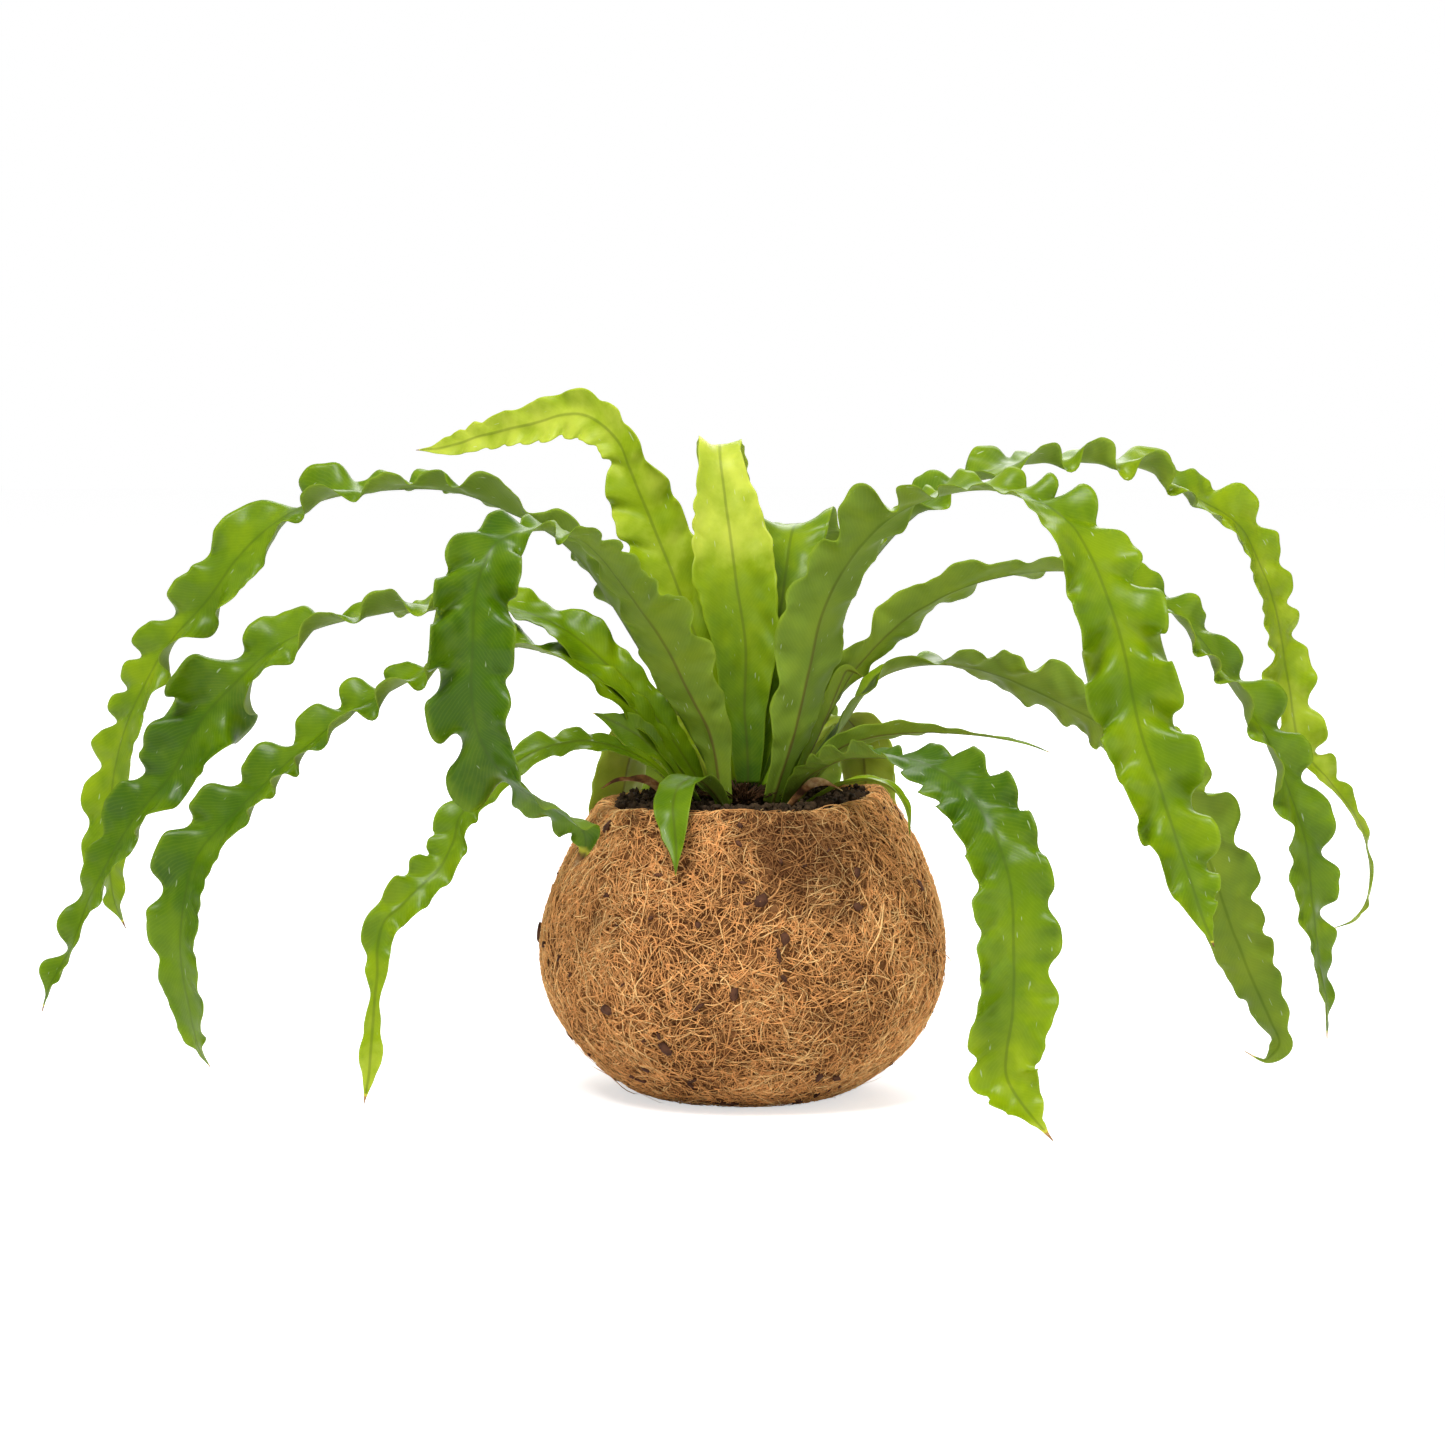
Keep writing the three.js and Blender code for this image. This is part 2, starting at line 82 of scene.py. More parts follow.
MM = 0.001
FULL_TURN = 2 * math.pi
CAD_SIDES = 40  # sides of the frame's pot
FIBRE_BATCHES = 12  # meshes that the matted fibres are shared out to
FINER = 9  # steps of the smooth pot between two sides of the frame's
RIM_START = 0.975  # share of the pot's height where its rim starts to round over
INSIDE_FLOOR = 0.12  # share of the pot's height where its inside ends
CAD_CUP = 0.22  # lift of a frame blade's edges, as a share of its half width
BODY = "root"


# ---------- settings ----------
def length(name, description, default):
    return FloatProperty(name=name, description=description, default=default, unit="LENGTH", precision=5)


def number(name, description, default):
    return FloatProperty(name=name, description=description, default=default)


def whole(name, description, default):
    return IntProperty(name=name, description=description, default=default, min=10)


def colour(name, description, default):
    return FloatVectorProperty(
        name=name, description=description, default=default, subtype="COLOR", size=3, min=0, max=1
    )


class PotSettings(bpy.types.PropertyGroup):
    """Sizes and colours of the coconut-fibre pot."""

    wall: length("Wall", "Thickness of the pressed fibre", 7 * MM)
    fibres: whole("Fibres", "Fibres matted on the pot", 36000)
    loose_fibres: whole("Loose Fibres", "Fibres that stand off the pot", 420)
    fibre_length: length("Fibre Length", "Usual length of a fibre", 9.5 * MM)
    fibre_radius: length("Fibre Radius", "Usual radius of a fibre", 0.185 * MM)
    flecks: whole("Flecks", "Dark flecks of husk in the pot", 115)
    dark: colour("Dark Fibre", "Colour of the darkest fibres", (0.115, 0.038, 0.010))
    middle: colour("Fibre", "Colour of most fibres", (0.80, 0.39, 0.132))
    light: colour("Light Fibre", "Colour of the lightest fibres", (0.98, 0.64, 0.27))
    # The patch is painted shadow of the fronds above, with damp: it darkens the pot round this point.
    frond_shadow_and_damp: FloatVectorProperty(
        name="Frond Shadow And Damp Patch", description="Middle of a dark, damp patch under the rim",
        default=(21 * MM, -58 * MM, 99 * MM), subtype="TRANSLATION", unit="LENGTH", precision=5,
    )
    husk: colour("Husk", "Colour of the husk flecks and chip", (0.085, 0.034, 0.017))


class SoilSettings(bpy.types.PropertyGroup):
    """Sizes and colours of the potting soil and of the scaly crown."""

    crumbs: whole("Crumbs", "Loose crumbs on the soil", 2450)
    crumb_size: length("Crumb Size", "Usual radius of a crumb", 0.85 * MM)
    soil: colour("Soil", "Colour of moist soil", (0.046, 0.027, 0.013))
    scales: whole("Scales", "Scales on the fern's crown", 260)
    scale: colour("Scale", "Colour of the crown's scales", (0.10, 0.048, 0.020))


class FrondSettings(bpy.types.PropertyGroup):
    """Sizes and colours of the fronds."""

    step: length("Step", "Distance between the rows of a blade's mesh", 0.9 * MM)
    fold_slant: number("Fold Slant", "How far a fold runs towards the tip for each step outwards", 0.6)
    lobe: number("Lobe", "How much broader the crest of a fold is than its trough", 0.5)
    blade: length("Blade", "Thickness of a blade between its veins", 0.42 * MM)
    midrib: length("Midrib", "Extra thickness at the midrib", 0.95 * MM)
    deep: colour("Deep Green", "Colour of the oldest blades", (0.048, 0.118, 0.0))
    green: colour("Green", "Colour of most blades", (0.130, 0.225, 0.0005))
    fresh: colour("Fresh Green", "Colour of younger blades", (0.250, 0.350, 0.001))
    young: colour("Yellow Green", "Colour of the youngest blades", (0.57, 0.63, 0.07))
    under: colour("Underside", "Colour that greys the underside", (0.195, 0.265, 0.035))
    scorched: colour("Scorched", "Darkest colour of dried tips and dead fronds", (0.085, 0.034, 0.014))
    dried: colour("Dried", "Usual colour of dried tips and dead fronds", (0.32, 0.145, 0.05))
    papery: colour("Papery", "Palest colour of dead fronds", (0.62, 0.42, 0.20))


class StageSettings(bpy.types.PropertyGroup):
    """Camera, floor and lights."""

    distance: length("Camera Distance", "From the camera to the plant", 1.5)
    elevation: FloatProperty(
        name="Elevation",
        description="Camera's height above the horizon",
        default=math.radians(5),
        subtype="ANGLE",
    )
    lens: number("Lens", "Focal length in millimetres", 99.65)
    aim_right: length("Aim Right", "Aim to the right of the box's middle", 2.9 * MM)
    aim_up: length("Aim Up", "Aim above the box's middle", 9.5 * MM)
    floor: colour("Floor", "Colour of the plain floor", (0.93, 0.93, 0.93))
    sky: number("Sky", "Strength of the light from all round", 0.42)
    floor_glow: number("Floor Glow", "Whitens the floor for the camera alone", 0.6)


# ---------- helpers for meshes ----------
def mesh_piece(name, points, faces, marks=None, layout=None):
    """A smooth-shaded object. Faces is a list of index arrays, one for each number of corners, marks are
    numbers for each point, and layout is a place on the unit square for every corner of every face."""
    mesh = bpy.data.meshes.new(name)
    points = np.asarray(points, dtype=np.float32)
    corners = np.concatenate([each.ravel() for each in faces])
    sizes = np.concatenate([np.full(len(each), each.shape[1]) for each in faces])
    mesh.vertices.add(len(points))
    mesh.vertices.foreach_set("co", points.ravel())
    mesh.loops.add(len(corners))
    mesh.loops.foreach_set("vertex_index", corners.astype(np.int32))
    mesh.polygons.add(len(sizes))
    mesh.polygons.foreach_set("loop_start", np.concatenate([[0], np.cumsum(sizes)[:-1]]).astype(np.int32))
    mesh.polygons.foreach_set("use_smooth", np.ones(len(sizes), dtype=bool))
    for key, values in (marks or {}).items():
        values = np.asarray(values, dtype=np.float32)
        kind, field = ("FLOAT", "value") if values.ndim == 1 else ("FLOAT_VECTOR", "vector")
        mesh.attributes.new(key, kind, "POINT").data.foreach_set(field, values.ravel())
    if layout is not None:
        mesh.uv_layers.new(name="OFBake").uv.foreach_set("vector", layout.astype(np.float32).ravel())
    mesh.update(calc_edges=True)
    made = bpy.data.objects.new(name, mesh)
    bpy.context.scene.collection.objects.link(made)
    return made


def finish_piece(piece, material, slot, *nodes):
    """Gives a piece its material, hangs it on the plant's body and hides the CAD nodes it stands for. The
    slot is not used.
    """
    piece.data.materials.append(material)
    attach(piece, BODY)
    if nodes:
        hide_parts(*nodes)
    return piece


def circle(sides):
    """Evenly spaced angles, once round."""
    return np.arange(sides) * FULL_TURN / sides


def tube_faces(rows, ring):
    """Quads of a tube with that many rows and points to a ring, facing out for rings that turn
    anticlockwise seen along the tube."""
    row, side = np.meshgrid(np.arange(rows - 1), np.arange(ring), indexing="ij")
    here, beside = row * ring + side, row * ring + (side + 1) % ring
    return np.stack([here, beside, beside + ring, here + ring], axis=-1).reshape(-1, 4)


def closed_tube(name, points, rows, ring, marks=None):
    """A tube that is closed by a face at each end."""
    ends = np.stack([np.arange(ring)[::-1], (rows - 1) * ring + np.arange(ring)])
    return mesh_piece(name, np.reshape(points, (-1, 3)), [tube_faces(rows, ring), ends], marks)


def unit(vectors):
    return vectors / np.maximum(np.linalg.norm(vectors, axis=-1, keepdims=True), 1e-12)


def wander(places, spacing, rng):
    """A smooth random curve between -1 and 1 along the places, with a new value at every spacing."""
    at = np.asarray(places) / spacing
    knots = rng.uniform(-1, 1, int(at.max()) + 3)
    before = at.astype(int)
    share = at - before
    share = share * share * (3 - 2 * share)
    return knots[before] * (1 - share) + knots[before + 1] * share


def smooth_step(low, high, value):
    share = np.clip((value - low) / (high - low), 0, 1)
    return share * share * (3 - 2 * share)


def rough(point, size, seed=0.0):
    """Smooth noise between about -1 and 1, with lumps of that size."""
    return noise.noise(Vector(point) / size + Vector((seed, -seed, 2 * seed)))


def strands(name, lines, normals, radii, tones, flat=1.0):
    """Closed three-sided strands along lines of points, pointed at both ends. Each has its own tone and
    its own cell of the layout. Flat squashes them towards the surface that they lie on."""
    count, stops = lines.shape[:2]
    along = unit(np.gradient(lines, axis=1))
    aside = unit(np.cross(along, normals))
    outwards = np.cross(aside, along)
    sides = 3
    turn = circle(sides) + math.pi / 2
    across = aside[:, 1:-1, None] * np.cos(turn)[:, None]
    rise = outwards[:, 1:-1, None] * np.sin(turn)[:, None] * flat
    rings = lines[:, 1:-1, None] + (across + rise) * radii[:, 1:-1, None, None]
    rings = rings.reshape(count, -1, 3)
    points = np.concatenate([rings, lines[:, :1], lines[:, -1:]], axis=1)
    points[..., 2] = np.maximum(points[..., 2], 0)
    inner = stops - 2
    first, last = inner * sides, inner * sides + 1
    faces, cells = [], []
    for ring in range(inner - 1):
        for side in range(sides):
            here, beside = ring * sides + side, ring * sides + (side + 1) % sides
            faces += [(here, beside, beside + sides), (here, beside + sides, here + sides)]
            near, far = (side, ring + 1), (side + 1, ring + 2)
            cells += [(near, (far[0], near[1]), far), (near, far, (near[0], far[1]))]
    for side in range(sides):
        beside, end = (side + 1) % sides, (inner - 1) * sides
        faces += [(first, beside, side), (last, end + side, end + beside)]
        cells += [((side + 0.5, 0), (side + 1, 1), (side, 1))]
        cells += [((side + 0.5, stops - 1), (side, stops - 2), (side + 1, stops - 2))]
    faces = np.array(faces)
    cells = 0.1 + 0.8 * np.array(cells) / (sides, stops - 1)
    grid = math.ceil(math.sqrt(count))
    corner = np.stack([np.arange(count) % grid, np.arange(count) // grid], axis=-1)
    layout = (corner[:, None, None] + cells) / grid
    every = (faces + np.arange(count)[:, None, None] * points.shape[1]).reshape(-1, 3)
    tone = np.repeat(tones, points.shape[1])
    return mesh_piece(name, points.reshape(-1, 3), [every], {"tone": tone}, layout.reshape(-1, 2))


# ---------- helpers for materials ----------
def feed(tree, node, sockets):
    """Links other nodes' sockets to a node's inputs, or sets numbers and colours on them."""
    for key, value in sockets.items():
        end = node.inputs[key]
        if isinstance(value, bpy.types.NodeSocket):
            tree.links.new(value, end)
        else:
            end.default_value = (*value, 1) if end.type == "RGBA" else value


def place(tree, kind, sockets=None, **settings):
    """A new node with its settings, and its inputs fed."""
    made = tree.nodes.new(kind)
    made.location = (180 * (len(tree.nodes) % 12), -260 * (len(tree.nodes) // 12))
    for key, value in settings.items():
        setattr(made, key, value)
    feed(tree, made, sockets or {})
    return made


def maths(tree, operation, *values, clamp=False):
    made = place(tree, "ShaderNodeMath", dict(enumerate(values)), operation=operation, use_clamp=clamp)
    return made.outputs[0]


def times(tree, first, second):
    return maths(tree, "MULTIPLY", first, second)


def scaled(tree, value, factor, extra, clamp=False):
    """Value times factor, plus extra."""
    return maths(tree, "MULTIPLY_ADD", value, factor, extra, clamp=clamp)


def mix(tree, factor, first, second):
    """A mix of two colours."""
    return place(tree, "ShaderNodeMix", {0: factor, 6: first, 7: second}, data_type="RGBA").outputs[2]


def between(tree, value, low, high):
    """A smooth step from 0 where value is low to 1 where it is high."""
    sockets = {"Value": value, "From Min": low, "From Max": high}
    return place(tree, "ShaderNodeMapRange", sockets, interpolation_type="SMOOTHSTEP").outputs[0]


def ramp(tree, factor, stops):
    made = place(tree, "ShaderNodeValToRGB", {0: factor})
    while len(made.color_ramp.elements) < len(stops):
        made.color_ramp.elements.new(0.5)
    for element, (position, shade) in zip(made.color_ramp.elements, stops):
        element.position = position
        element.color = (*shade, 1)
    return made.outputs[0]


def lumps(tree, scale, detail=3.0, roughness=0.55, vector=None):
    """Noise between 0 and 1 in the plant's own space."""
    if vector is None:
        vector = place(tree, "ShaderNodeTexCoord").outputs["Object"]
    sockets = {"Vector": vector, "Scale": scale, "Detail": detail, "Roughness": roughness}
    return place(tree, "ShaderNodeTexNoise", sockets).outputs[0]


def carried(tree, name):
    """The three numbers that a mesh carries under that name, as one vector and as its parts."""
    vector = place(tree, "ShaderNodeAttribute", attribute_name=name).outputs["Vector"]
    return vector, place(tree, "ShaderNodeSeparateXYZ", {0: vector}).outputs


def new_group(name, inputs, outputs):
    """An empty shader group. Inputs are names with their defaults, outputs names with their kinds."""
    tree = bpy.data.node_groups.new(name, "ShaderNodeTree")
    for key, default in inputs.items():
        kind = "NodeSocketColor" if isinstance(default, tuple) else "NodeSocketFloat"
        socket = tree.interface.new_socket(key, in_out="INPUT", socket_type=kind)
        socket.default_value = (*default, 1) if isinstance(default, tuple) else default
    for key, kind in outputs.items():
        tree.interface.new_socket(key, in_out="OUTPUT", socket_type=kind)
    return tree, tree.nodes.new("NodeGroupInput").outputs, tree.nodes.new("NodeGroupOutput")


def use_group(tree, name, build, sockets=None):
    """The outputs of a shader group, which is built where it is first used."""
    group = bpy.data.node_groups.get(name) or build(name)
    return place(tree, "ShaderNodeGroup", sockets, node_tree=group).outputs


def new_material(name):
    material = bpy.data.materials.new(name)
    material.use_nodes = True
    tree = material.node_tree
    return material, tree, tree.nodes["Principled BSDF"]


def bump(tree, height, strength, distance):
    sockets = {"Height": height, "Strength": strength, "Distance": distance}
    return place(tree, "ShaderNodeBump", sockets).outputs[0]


def build_mottle(name):
    """Soft patches and fine grain over a colour: for fibre, soil, husk and scales alike."""
    inputs = {"Colour": (0.5, 0.5, 0.5), "Patch Scale": 60.0, "Grain Scale": 900.0, "Contrast": 0.5}
    outputs = {"Colour": "NodeSocketColor", "Grain": "NodeSocketFloat"}
    tree, given, out = new_group(name, inputs, outputs)
    patches = between(tree, lumps(tree, given["Patch Scale"], 4.0), 0.3, 0.7)
    grain = lumps(tree, given["Grain Scale"], 2.0)
    shade = scaled(tree, maths(tree, "ADD", patches, grain), 0.5, -0.5)
    light = scaled(tree, shade, times(tree, given["Contrast"], 2.0), 1.0)
    lit = place(tree, "ShaderNodeVectorMath", {0: given["Colour"], "Scale": light}, operation="SCALE")
    feed(tree, out, {"Colour": lit.outputs[0], "Grain": grain})
    return tree


def mottle(tree, shader, shade, patch, grain, contrast, roughness, relief, specular):
    """Gives a shader a mottled colour. Roughness is the lowest and how much the grain adds to it, and
    relief the strength and height of the grain."""
    sockets = {"Colour": shade, "Patch Scale": patch, "Grain Scale": grain, "Contrast": contrast}
    mottled = use_group(tree, "Mottle", build_mottle, sockets)
    lowest, more = roughness
    feed(tree, shader, {
        "Base Color": mottled["Colour"],
        "Roughness": scaled(tree, mottled["Grain"], more, lowest),
        "Normal": bump(tree, mottled["Grain"], *relief),
        "Specular IOR Level": specular,
    })


def coir_material(name, plan, depth):
    """Coconut fibre. Each fibre has its own tone, depth paints on all of them the shade that falls between
    fibres, and a ragged patch of painted shadow from the fronds above, with damp, darkens its darker fibres
    most."""
    material, tree, shader = new_material(name)
    tone = place(tree, "ShaderNodeAttribute", attribute_name="tone").outputs["Fac"]
    drift = scaled(tree, between(tree, lumps(tree, 30.0, 4.0), 0.3, 0.7), 0.3, -0.15)
    shade = maths(tree, "ADD", tone, drift, clamp=True)
    tints = [(0.0, plan.dark), (0.34, plan.middle), (0.66, plan.middle), (1.0, plan.light)]
    fibre = ramp(tree, shade, tints)
    # A ragged patch of painted shadow from the fronds above, with damp, darkens the darker fibres most.
    spots = {0: place(tree, "ShaderNodeTexCoord").outputs["Object"], 1: plan.frond_shadow_and_damp}
    away = place(tree, "ShaderNodeVectorMath", spots, operation="DISTANCE").outputs["Value"]
    ragged = scaled(tree, lumps(tree, 60.0, 6.0, 0.65), 70 * MM, away)
    shadow_and_damp_weight = scaled(tree, tone, -0.6, 1.0, clamp=True)
    shadow_and_damp_patch = times(tree, between(tree, ragged, 72 * MM, 44 * MM), shadow_and_damp_weight)
    # Depth is painted shade, as falls between fibres: 0.8 for the wall under the fibres, none for the
    # fibres.
    darker = mix(tree, maths(tree, "MAXIMUM", shadow_and_damp_patch, depth), fibre, plan.dark)
    mottle(tree, shader, darker, 420.0, 2600.0, 0.4, (0.6, 0.25), (0.4, 0.1 * MM), 0.15)
    return material


def earth_material(name, shade, patch, grain, contrast, roughness, relief):
    """A matt natural surface, such as soil, husk or scales."""
    material, tree, shader = new_material(name)
    mottle(tree, shader, shade, patch, grain, contrast, (roughness - 0.1, 0.2), (0.6, relief), 0.2)
    return material


def build_veins(name):
    """Midrib and side veins of a blade, from the marks on its mesh: the share of the way across it, and
    the distances along and across it."""
    inputs = {"Spacing": 1.6 * MM, "Slant": 1.1, "Midrib Width": 0.5 * MM}
    outputs = dict.fromkeys(("Vein", "Midrib", "Margin"), "NodeSocketFloat")
    tree, given, out = new_group(name, inputs, outputs)
    share, along, aside = carried(tree, "blade")[1]
    share, aside = maths(tree, "ABSOLUTE", share), maths(tree, "ABSOLUTE", aside)
    drift = scaled(tree, lumps(tree, 70.0, 2.0), 5 * MM, -2.5 * MM)
    back = maths(tree, "SUBTRACT", along, times(tree, aside, given["Slant"]))
    turns = maths(tree, "DIVIDE", maths(tree, "ADD", back, drift), given["Spacing"])
    vein = between(tree, maths(tree, "SINE", times(tree, turns, FULL_TURN)), 0.1, 1.0)
    wide = given["Midrib Width"]
    feed(tree, out, {
        "Vein": times(tree, vein, between(tree, aside, 0.4 * MM, 2.0 * MM)),
        "Midrib": between(tree, aside, times(tree, wide, 1.6), times(tree, wide, 0.5)),
        "Margin": between(tree, share, 0.86, 1.0),
    })
    return tree


def blade_material(name, plan, gloss):
    """A fern blade: green by age, paler under, with veins, a midrib that browns near the crown,
    thin pale scratches and dried tips."""
    material, tree, shader = new_material(name)
    youth, under, dryness = carried(tree, "look")[1]
    marks, (_, along, _) = carried(tree, "blade")
    veins = use_group(tree, "Blade Veins", build_veins)

    blotch = scaled(tree, between(tree, lumps(tree, 55.0, 5.0), 0.28, 0.72), 0.3, -0.15)
    age = maths(tree, "ADD", youth, blotch, clamp=True)
    green = ramp(tree, age, [(0.0, plan.deep), (0.35, plan.green), (0.65, plan.fresh), (1.0, plan.young)])
    greyed = mix(tree, times(tree, under, 0.45), green, plan.under)
    veined = mix(tree, times(tree, veins["Vein"], 0.04), greyed, (0.50, 0.62, 0.06))
    # Painted glow: the margins are lighter yellow-green, as light shines through the thin edges from
    # behind.
    margin_glow = mix(tree, times(tree, veins["Margin"], 0.12), veined, (0.42, 0.50, 0.03))
    near_crown = between(tree, along, 130 * MM, 15 * MM)
    brown_rib = times(tree, near_crown, scaled(tree, under, 0.75, 0.2))
    rib = mix(tree, brown_rib, mix(tree, 0.55, green, (0.05, 0.09, 0.004)), (0.11, 0.055, 0.014))
    ribbed = mix(tree, times(tree, veins["Midrib"], 0.7), margin_glow, rib)

    stretch = {0: marks, 1: (9.0, 160.0, 900.0)}
    stretched = place(tree, "ShaderNodeVectorMath", stretch, operation="MULTIPLY").outputs[0]
    scratches = between(tree, lumps(tree, 1.0, 1.0, vector=stretched), 0.735, 0.79)
    marked = mix(tree, times(tree, scratches, 0.4), ribbed, (0.62, 0.68, 0.48))

    crisp = maths(tree, "ADD", dryness, scaled(tree, lumps(tree, 260.0, 3.0), 0.5, -0.25))
    yellow = mix(tree, between(tree, crisp, 0.2, 0.5), marked, (0.56, 0.52, 0.05))
    browns = [(0.34, plan.scorched), (0.5, plan.dried), (0.64, plan.papery)]
    dead = ramp(tree, lumps(tree, 170.0, 5.0), browns)
    dull = scaled(tree, dryness, 0.3, scaled(tree, under, 0.2, gloss))
    relief = scaled(tree, lumps(tree, 420.0, 3.0), 0.8, times(tree, veins["Vein"], -0.12))
    feed(tree, shader, {
        "Base Color": mix(tree, between(tree, crisp, 0.5, 0.85), yellow, dead),
        "Roughness": scaled(tree, lumps(tree, 500.0, 2.0), 0.12, dull),
        "Normal": bump(tree, relief, 0.4, 0.2 * MM),
        "Specular IOR Level": 0.2,
        "Subsurface Weight": 0.3,
        "Subsurface Radius": (0.8, 1.0, 0.2),
        "Subsurface Scale": 0.9 * MM,
    })
    return material


# ---------- pot ----------
def frame_tree(node):
    """A frame solid, ready to be touched by rays."""
    solid = frame["nodes"][node].data
    corners = [vertex.co.copy() for vertex in solid.vertices]
    return BVHTree.FromPolygons(corners, [tuple(face.vertices) for face in solid.polygons])


def middle_and_half(node):
    """The middle of a frame solid's box and half its sides."""
    low, high = [np.array(corner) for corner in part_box(node)]
    return (low + high) / 2, (high - low) / 2


class PotSkin:
    """The pot's outside, measured on its frame solid and smoothed between the solid's sides. A way runs
    from the middle of the base, up the outside, over the rim, down the inside and to the middle again."""

    def __init__(self, node, wall):
        tree = frame_tree(node)
        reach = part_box(node)[1][0]
        shares = np.linspace(0.002, 0.985, 60)
        rims, table = [], []
        for turn in circle(CAD_SIDES):
            ahead = Vector((math.cos(turn), math.sin(turn), 0))
            tops = [self.hit(tree, ahead * reach * part + Vector((0, 0, 1)), Vector((0, 0, -1)))
                    for part in np.linspace(0.5, 0.8, 31)]
            rim = max(top.z for top in tops if top)
            rims.append(rim)
            starts = [ahead * 3 * reach + Vector((0, 0, rim * share)) for share in shares]
            table.append([self.hit(tree, start, -ahead).xy.length for start in starts])
        fine = FINER * CAD_SIDES
        self.rims = np.fft.irfft(np.fft.rfft(rims), fine) * FINER
        self.table = np.fft.irfft(np.fft.rfft(np.array(table).T, axis=1), fine, axis=1) * FINER
        self.shares, self.wall, self.high = shares, wall, float(np.mean(rims))
        self.lay_way()

    @staticmethod
    def hit(tree, start, direction):
        return tree.ray_cast(start, direction)[0]

    def radius(self, turn, share):
        at = np.mod(turn, FULL_TURN) / FULL_TURN * self.table.shape[1]
        left = at.astype(int) % self.table.shape[1]
        right = (left + 1) % self.table.shape[1]
        up = np.interp(share, self.shares, np.arange(len(self.shares)))
        low = np.minimum(up.astype(int), len(self.shares) - 2)
        side, rise = at - np.floor(at), up - low
        lower = self.table[low, left] * (1 - side) + self.table[low, right] * side
        upper = self.table[low + 1, left] * (1 - side) + self.table[low + 1, right] * side
        return lower * (1 - rise) + upper * rise

    def rim(self, turn):
        return np.interp(np.mod(turn, FULL_TURN), circle(len(self.rims)), self.rims, period=FULL_TURN)

    def lay_way(self):
        """Tables along the way: shares of the height and of the way out, and inset from the outside."""
        over = np.linspace(0, math.pi, 15)
        rounding = RIM_START + (1 - RIM_START) * np.sin(over) ** 0.6
        parts = [
            (np.zeros(24), np.linspace(0.02, 1, 24), np.zeros(24)),
            (np.linspace(0, RIM_START, 120)[1:], np.ones(119), np.zeros(119)),
            (rounding, np.ones(15), self.wall * (1 - np.cos(over)) / 2),
            (np.linspace(RIM_START, INSIDE_FLOOR, 40)[1:], np.ones(39), np.full(39, self.wall)),
            (np.full(12, INSIDE_FLOOR), np.linspace(1, 0.02, 12), np.full(12, self.wall)),
        ]
        self.share, self.out, self.inset = [np.concatenate(column) for column in zip(*parts)]
        self.mean_radius = np.interp(self.share, self.shares, self.table.mean(axis=1))
        radius = self.out * (self.mean_radius - self.inset)
        height = self.share * self.high
        steps = np.hypot(np.diff(radius), np.diff(height))
        self.way = np.concatenate([[0], np.cumsum(steps)])
        slope_out, slope_up = np.gradient(radius), np.gradient(height)
        size = np.hypot(slope_out, slope_up) + 1e-12
        self.normal_out, self.normal_up = slope_up / size, -slope_out / size
        rows = np.flatnonzero(self.share >= RIM_START)
        self.rim_way, self.inside_way = self.way[rows[0]], self.way[rows[-1]]

    def at(self, turn, way, lift=0.0):
        """Points on the skin and its normals, lifted off it."""
        turn, way = np.broadcast_arrays(turn, way)
        columns = self.share, self.out, self.inset, self.normal_out, self.normal_up
        share, out, inset, normal_out, normal_up = [np.interp(way, self.way, each) for each in columns]
        radius = out * (self.radius(turn, share) - inset) + normal_out * lift
        height = np.maximum(share * self.rim(turn) + normal_up * lift, 0.0)
        cos, sin = np.cos(turn), np.sin(turn)
        normal = np.stack([normal_out * cos, normal_out * sin, normal_up], axis=-1)
        return np.stack([radius * cos, radius * sin, height], axis=-1), unit(normal)


def pot_wall(skin):
    """The matted body of the pot, pitted and lumpy, as one closed shell."""
    sides, rows = 320, len(skin.way)
    turn, way = np.meshgrid(circle(sides), skin.way, indexing="xy")
    points, normals = skin.at(turn, way)
    pits = [rough(spot, 4 * MM) * 0.5 + rough(spot, 1.3 * MM, 7.0) * 0.35 for spot in points.reshape(-1, 3)]
    depth = -np.abs(np.reshape(pits, turn.shape)) * MM - 0.3 * MM
    depth *= smooth_step(1 * MM, 6 * MM, np.minimum(way, skin.way[-1] - way))
    points = points + normals * depth[..., None]
    return closed_tube("pot_wall", points, rows, sides, {"tone": np.full(rows * sides, 0.45)})


def fibre_lines(skin, rng, count, usual, lift, flare, stops=10):
    """Lines of fibres that wander over the pot, their normals, and how high each lies, from 0 to 1. Lift is
    the height of the highest, and flare how far their ends stand off."""
    start = rng.uniform(4 * MM, skin.inside_way + 3 * MM, 3 * count)
    girth = np.interp(start, skin.way, skin.out * skin.mean_radius)
    way = start[rng.uniform(0, girth.max(), 3 * count) < girth][:count]
    count = len(way)
    step = usual * rng.lognormal(0, 0.35, count) / (stops - 1)
    turn = rng.uniform(0, FULL_TURN, count)
    lie = [FULL_TURN * rough(spot, 34 * MM, 9.0) for spot in skin.at(turn, way)[0]]
    heading = np.array(lie) + rng.normal(0, 1.15, count)
    bend = rng.normal(0, 0.13, count)
    turns, ways = [], []
    for _ in range(stops):
        turns.append(turn)
        ways.append(way)
        girth = np.interp(way, skin.way, skin.out) * np.interp(way, skin.way, skin.mean_radius)
        turn = turn + step * np.cos(heading) / np.maximum(girth, 4 * MM)
        way = np.clip(way + step * np.sin(heading), 1 * MM, skin.inside_way + 6 * MM)
        bend = bend * 0.85 + rng.normal(0, 0.07, count)
        heading = heading + bend
    share = np.linspace(0, 1, stops)
    level = rng.uniform(0, 1, (count, 1)) ** 1.2
    wiggle = share * rng.uniform(4, 12, (count, 1)) + rng.uniform(0, FULL_TURN, (count, 1))
    tail = flare * rng.uniform(0, 1, (count, 1)) ** 2 * share**2
    height = level * lift + 0.22 * MM * np.sin(wiggle) + tail
    lines, normals = skin.at(np.stack(turns, axis=1), np.stack(ways, axis=1), height)
    return lines, normals, level[:, 0]


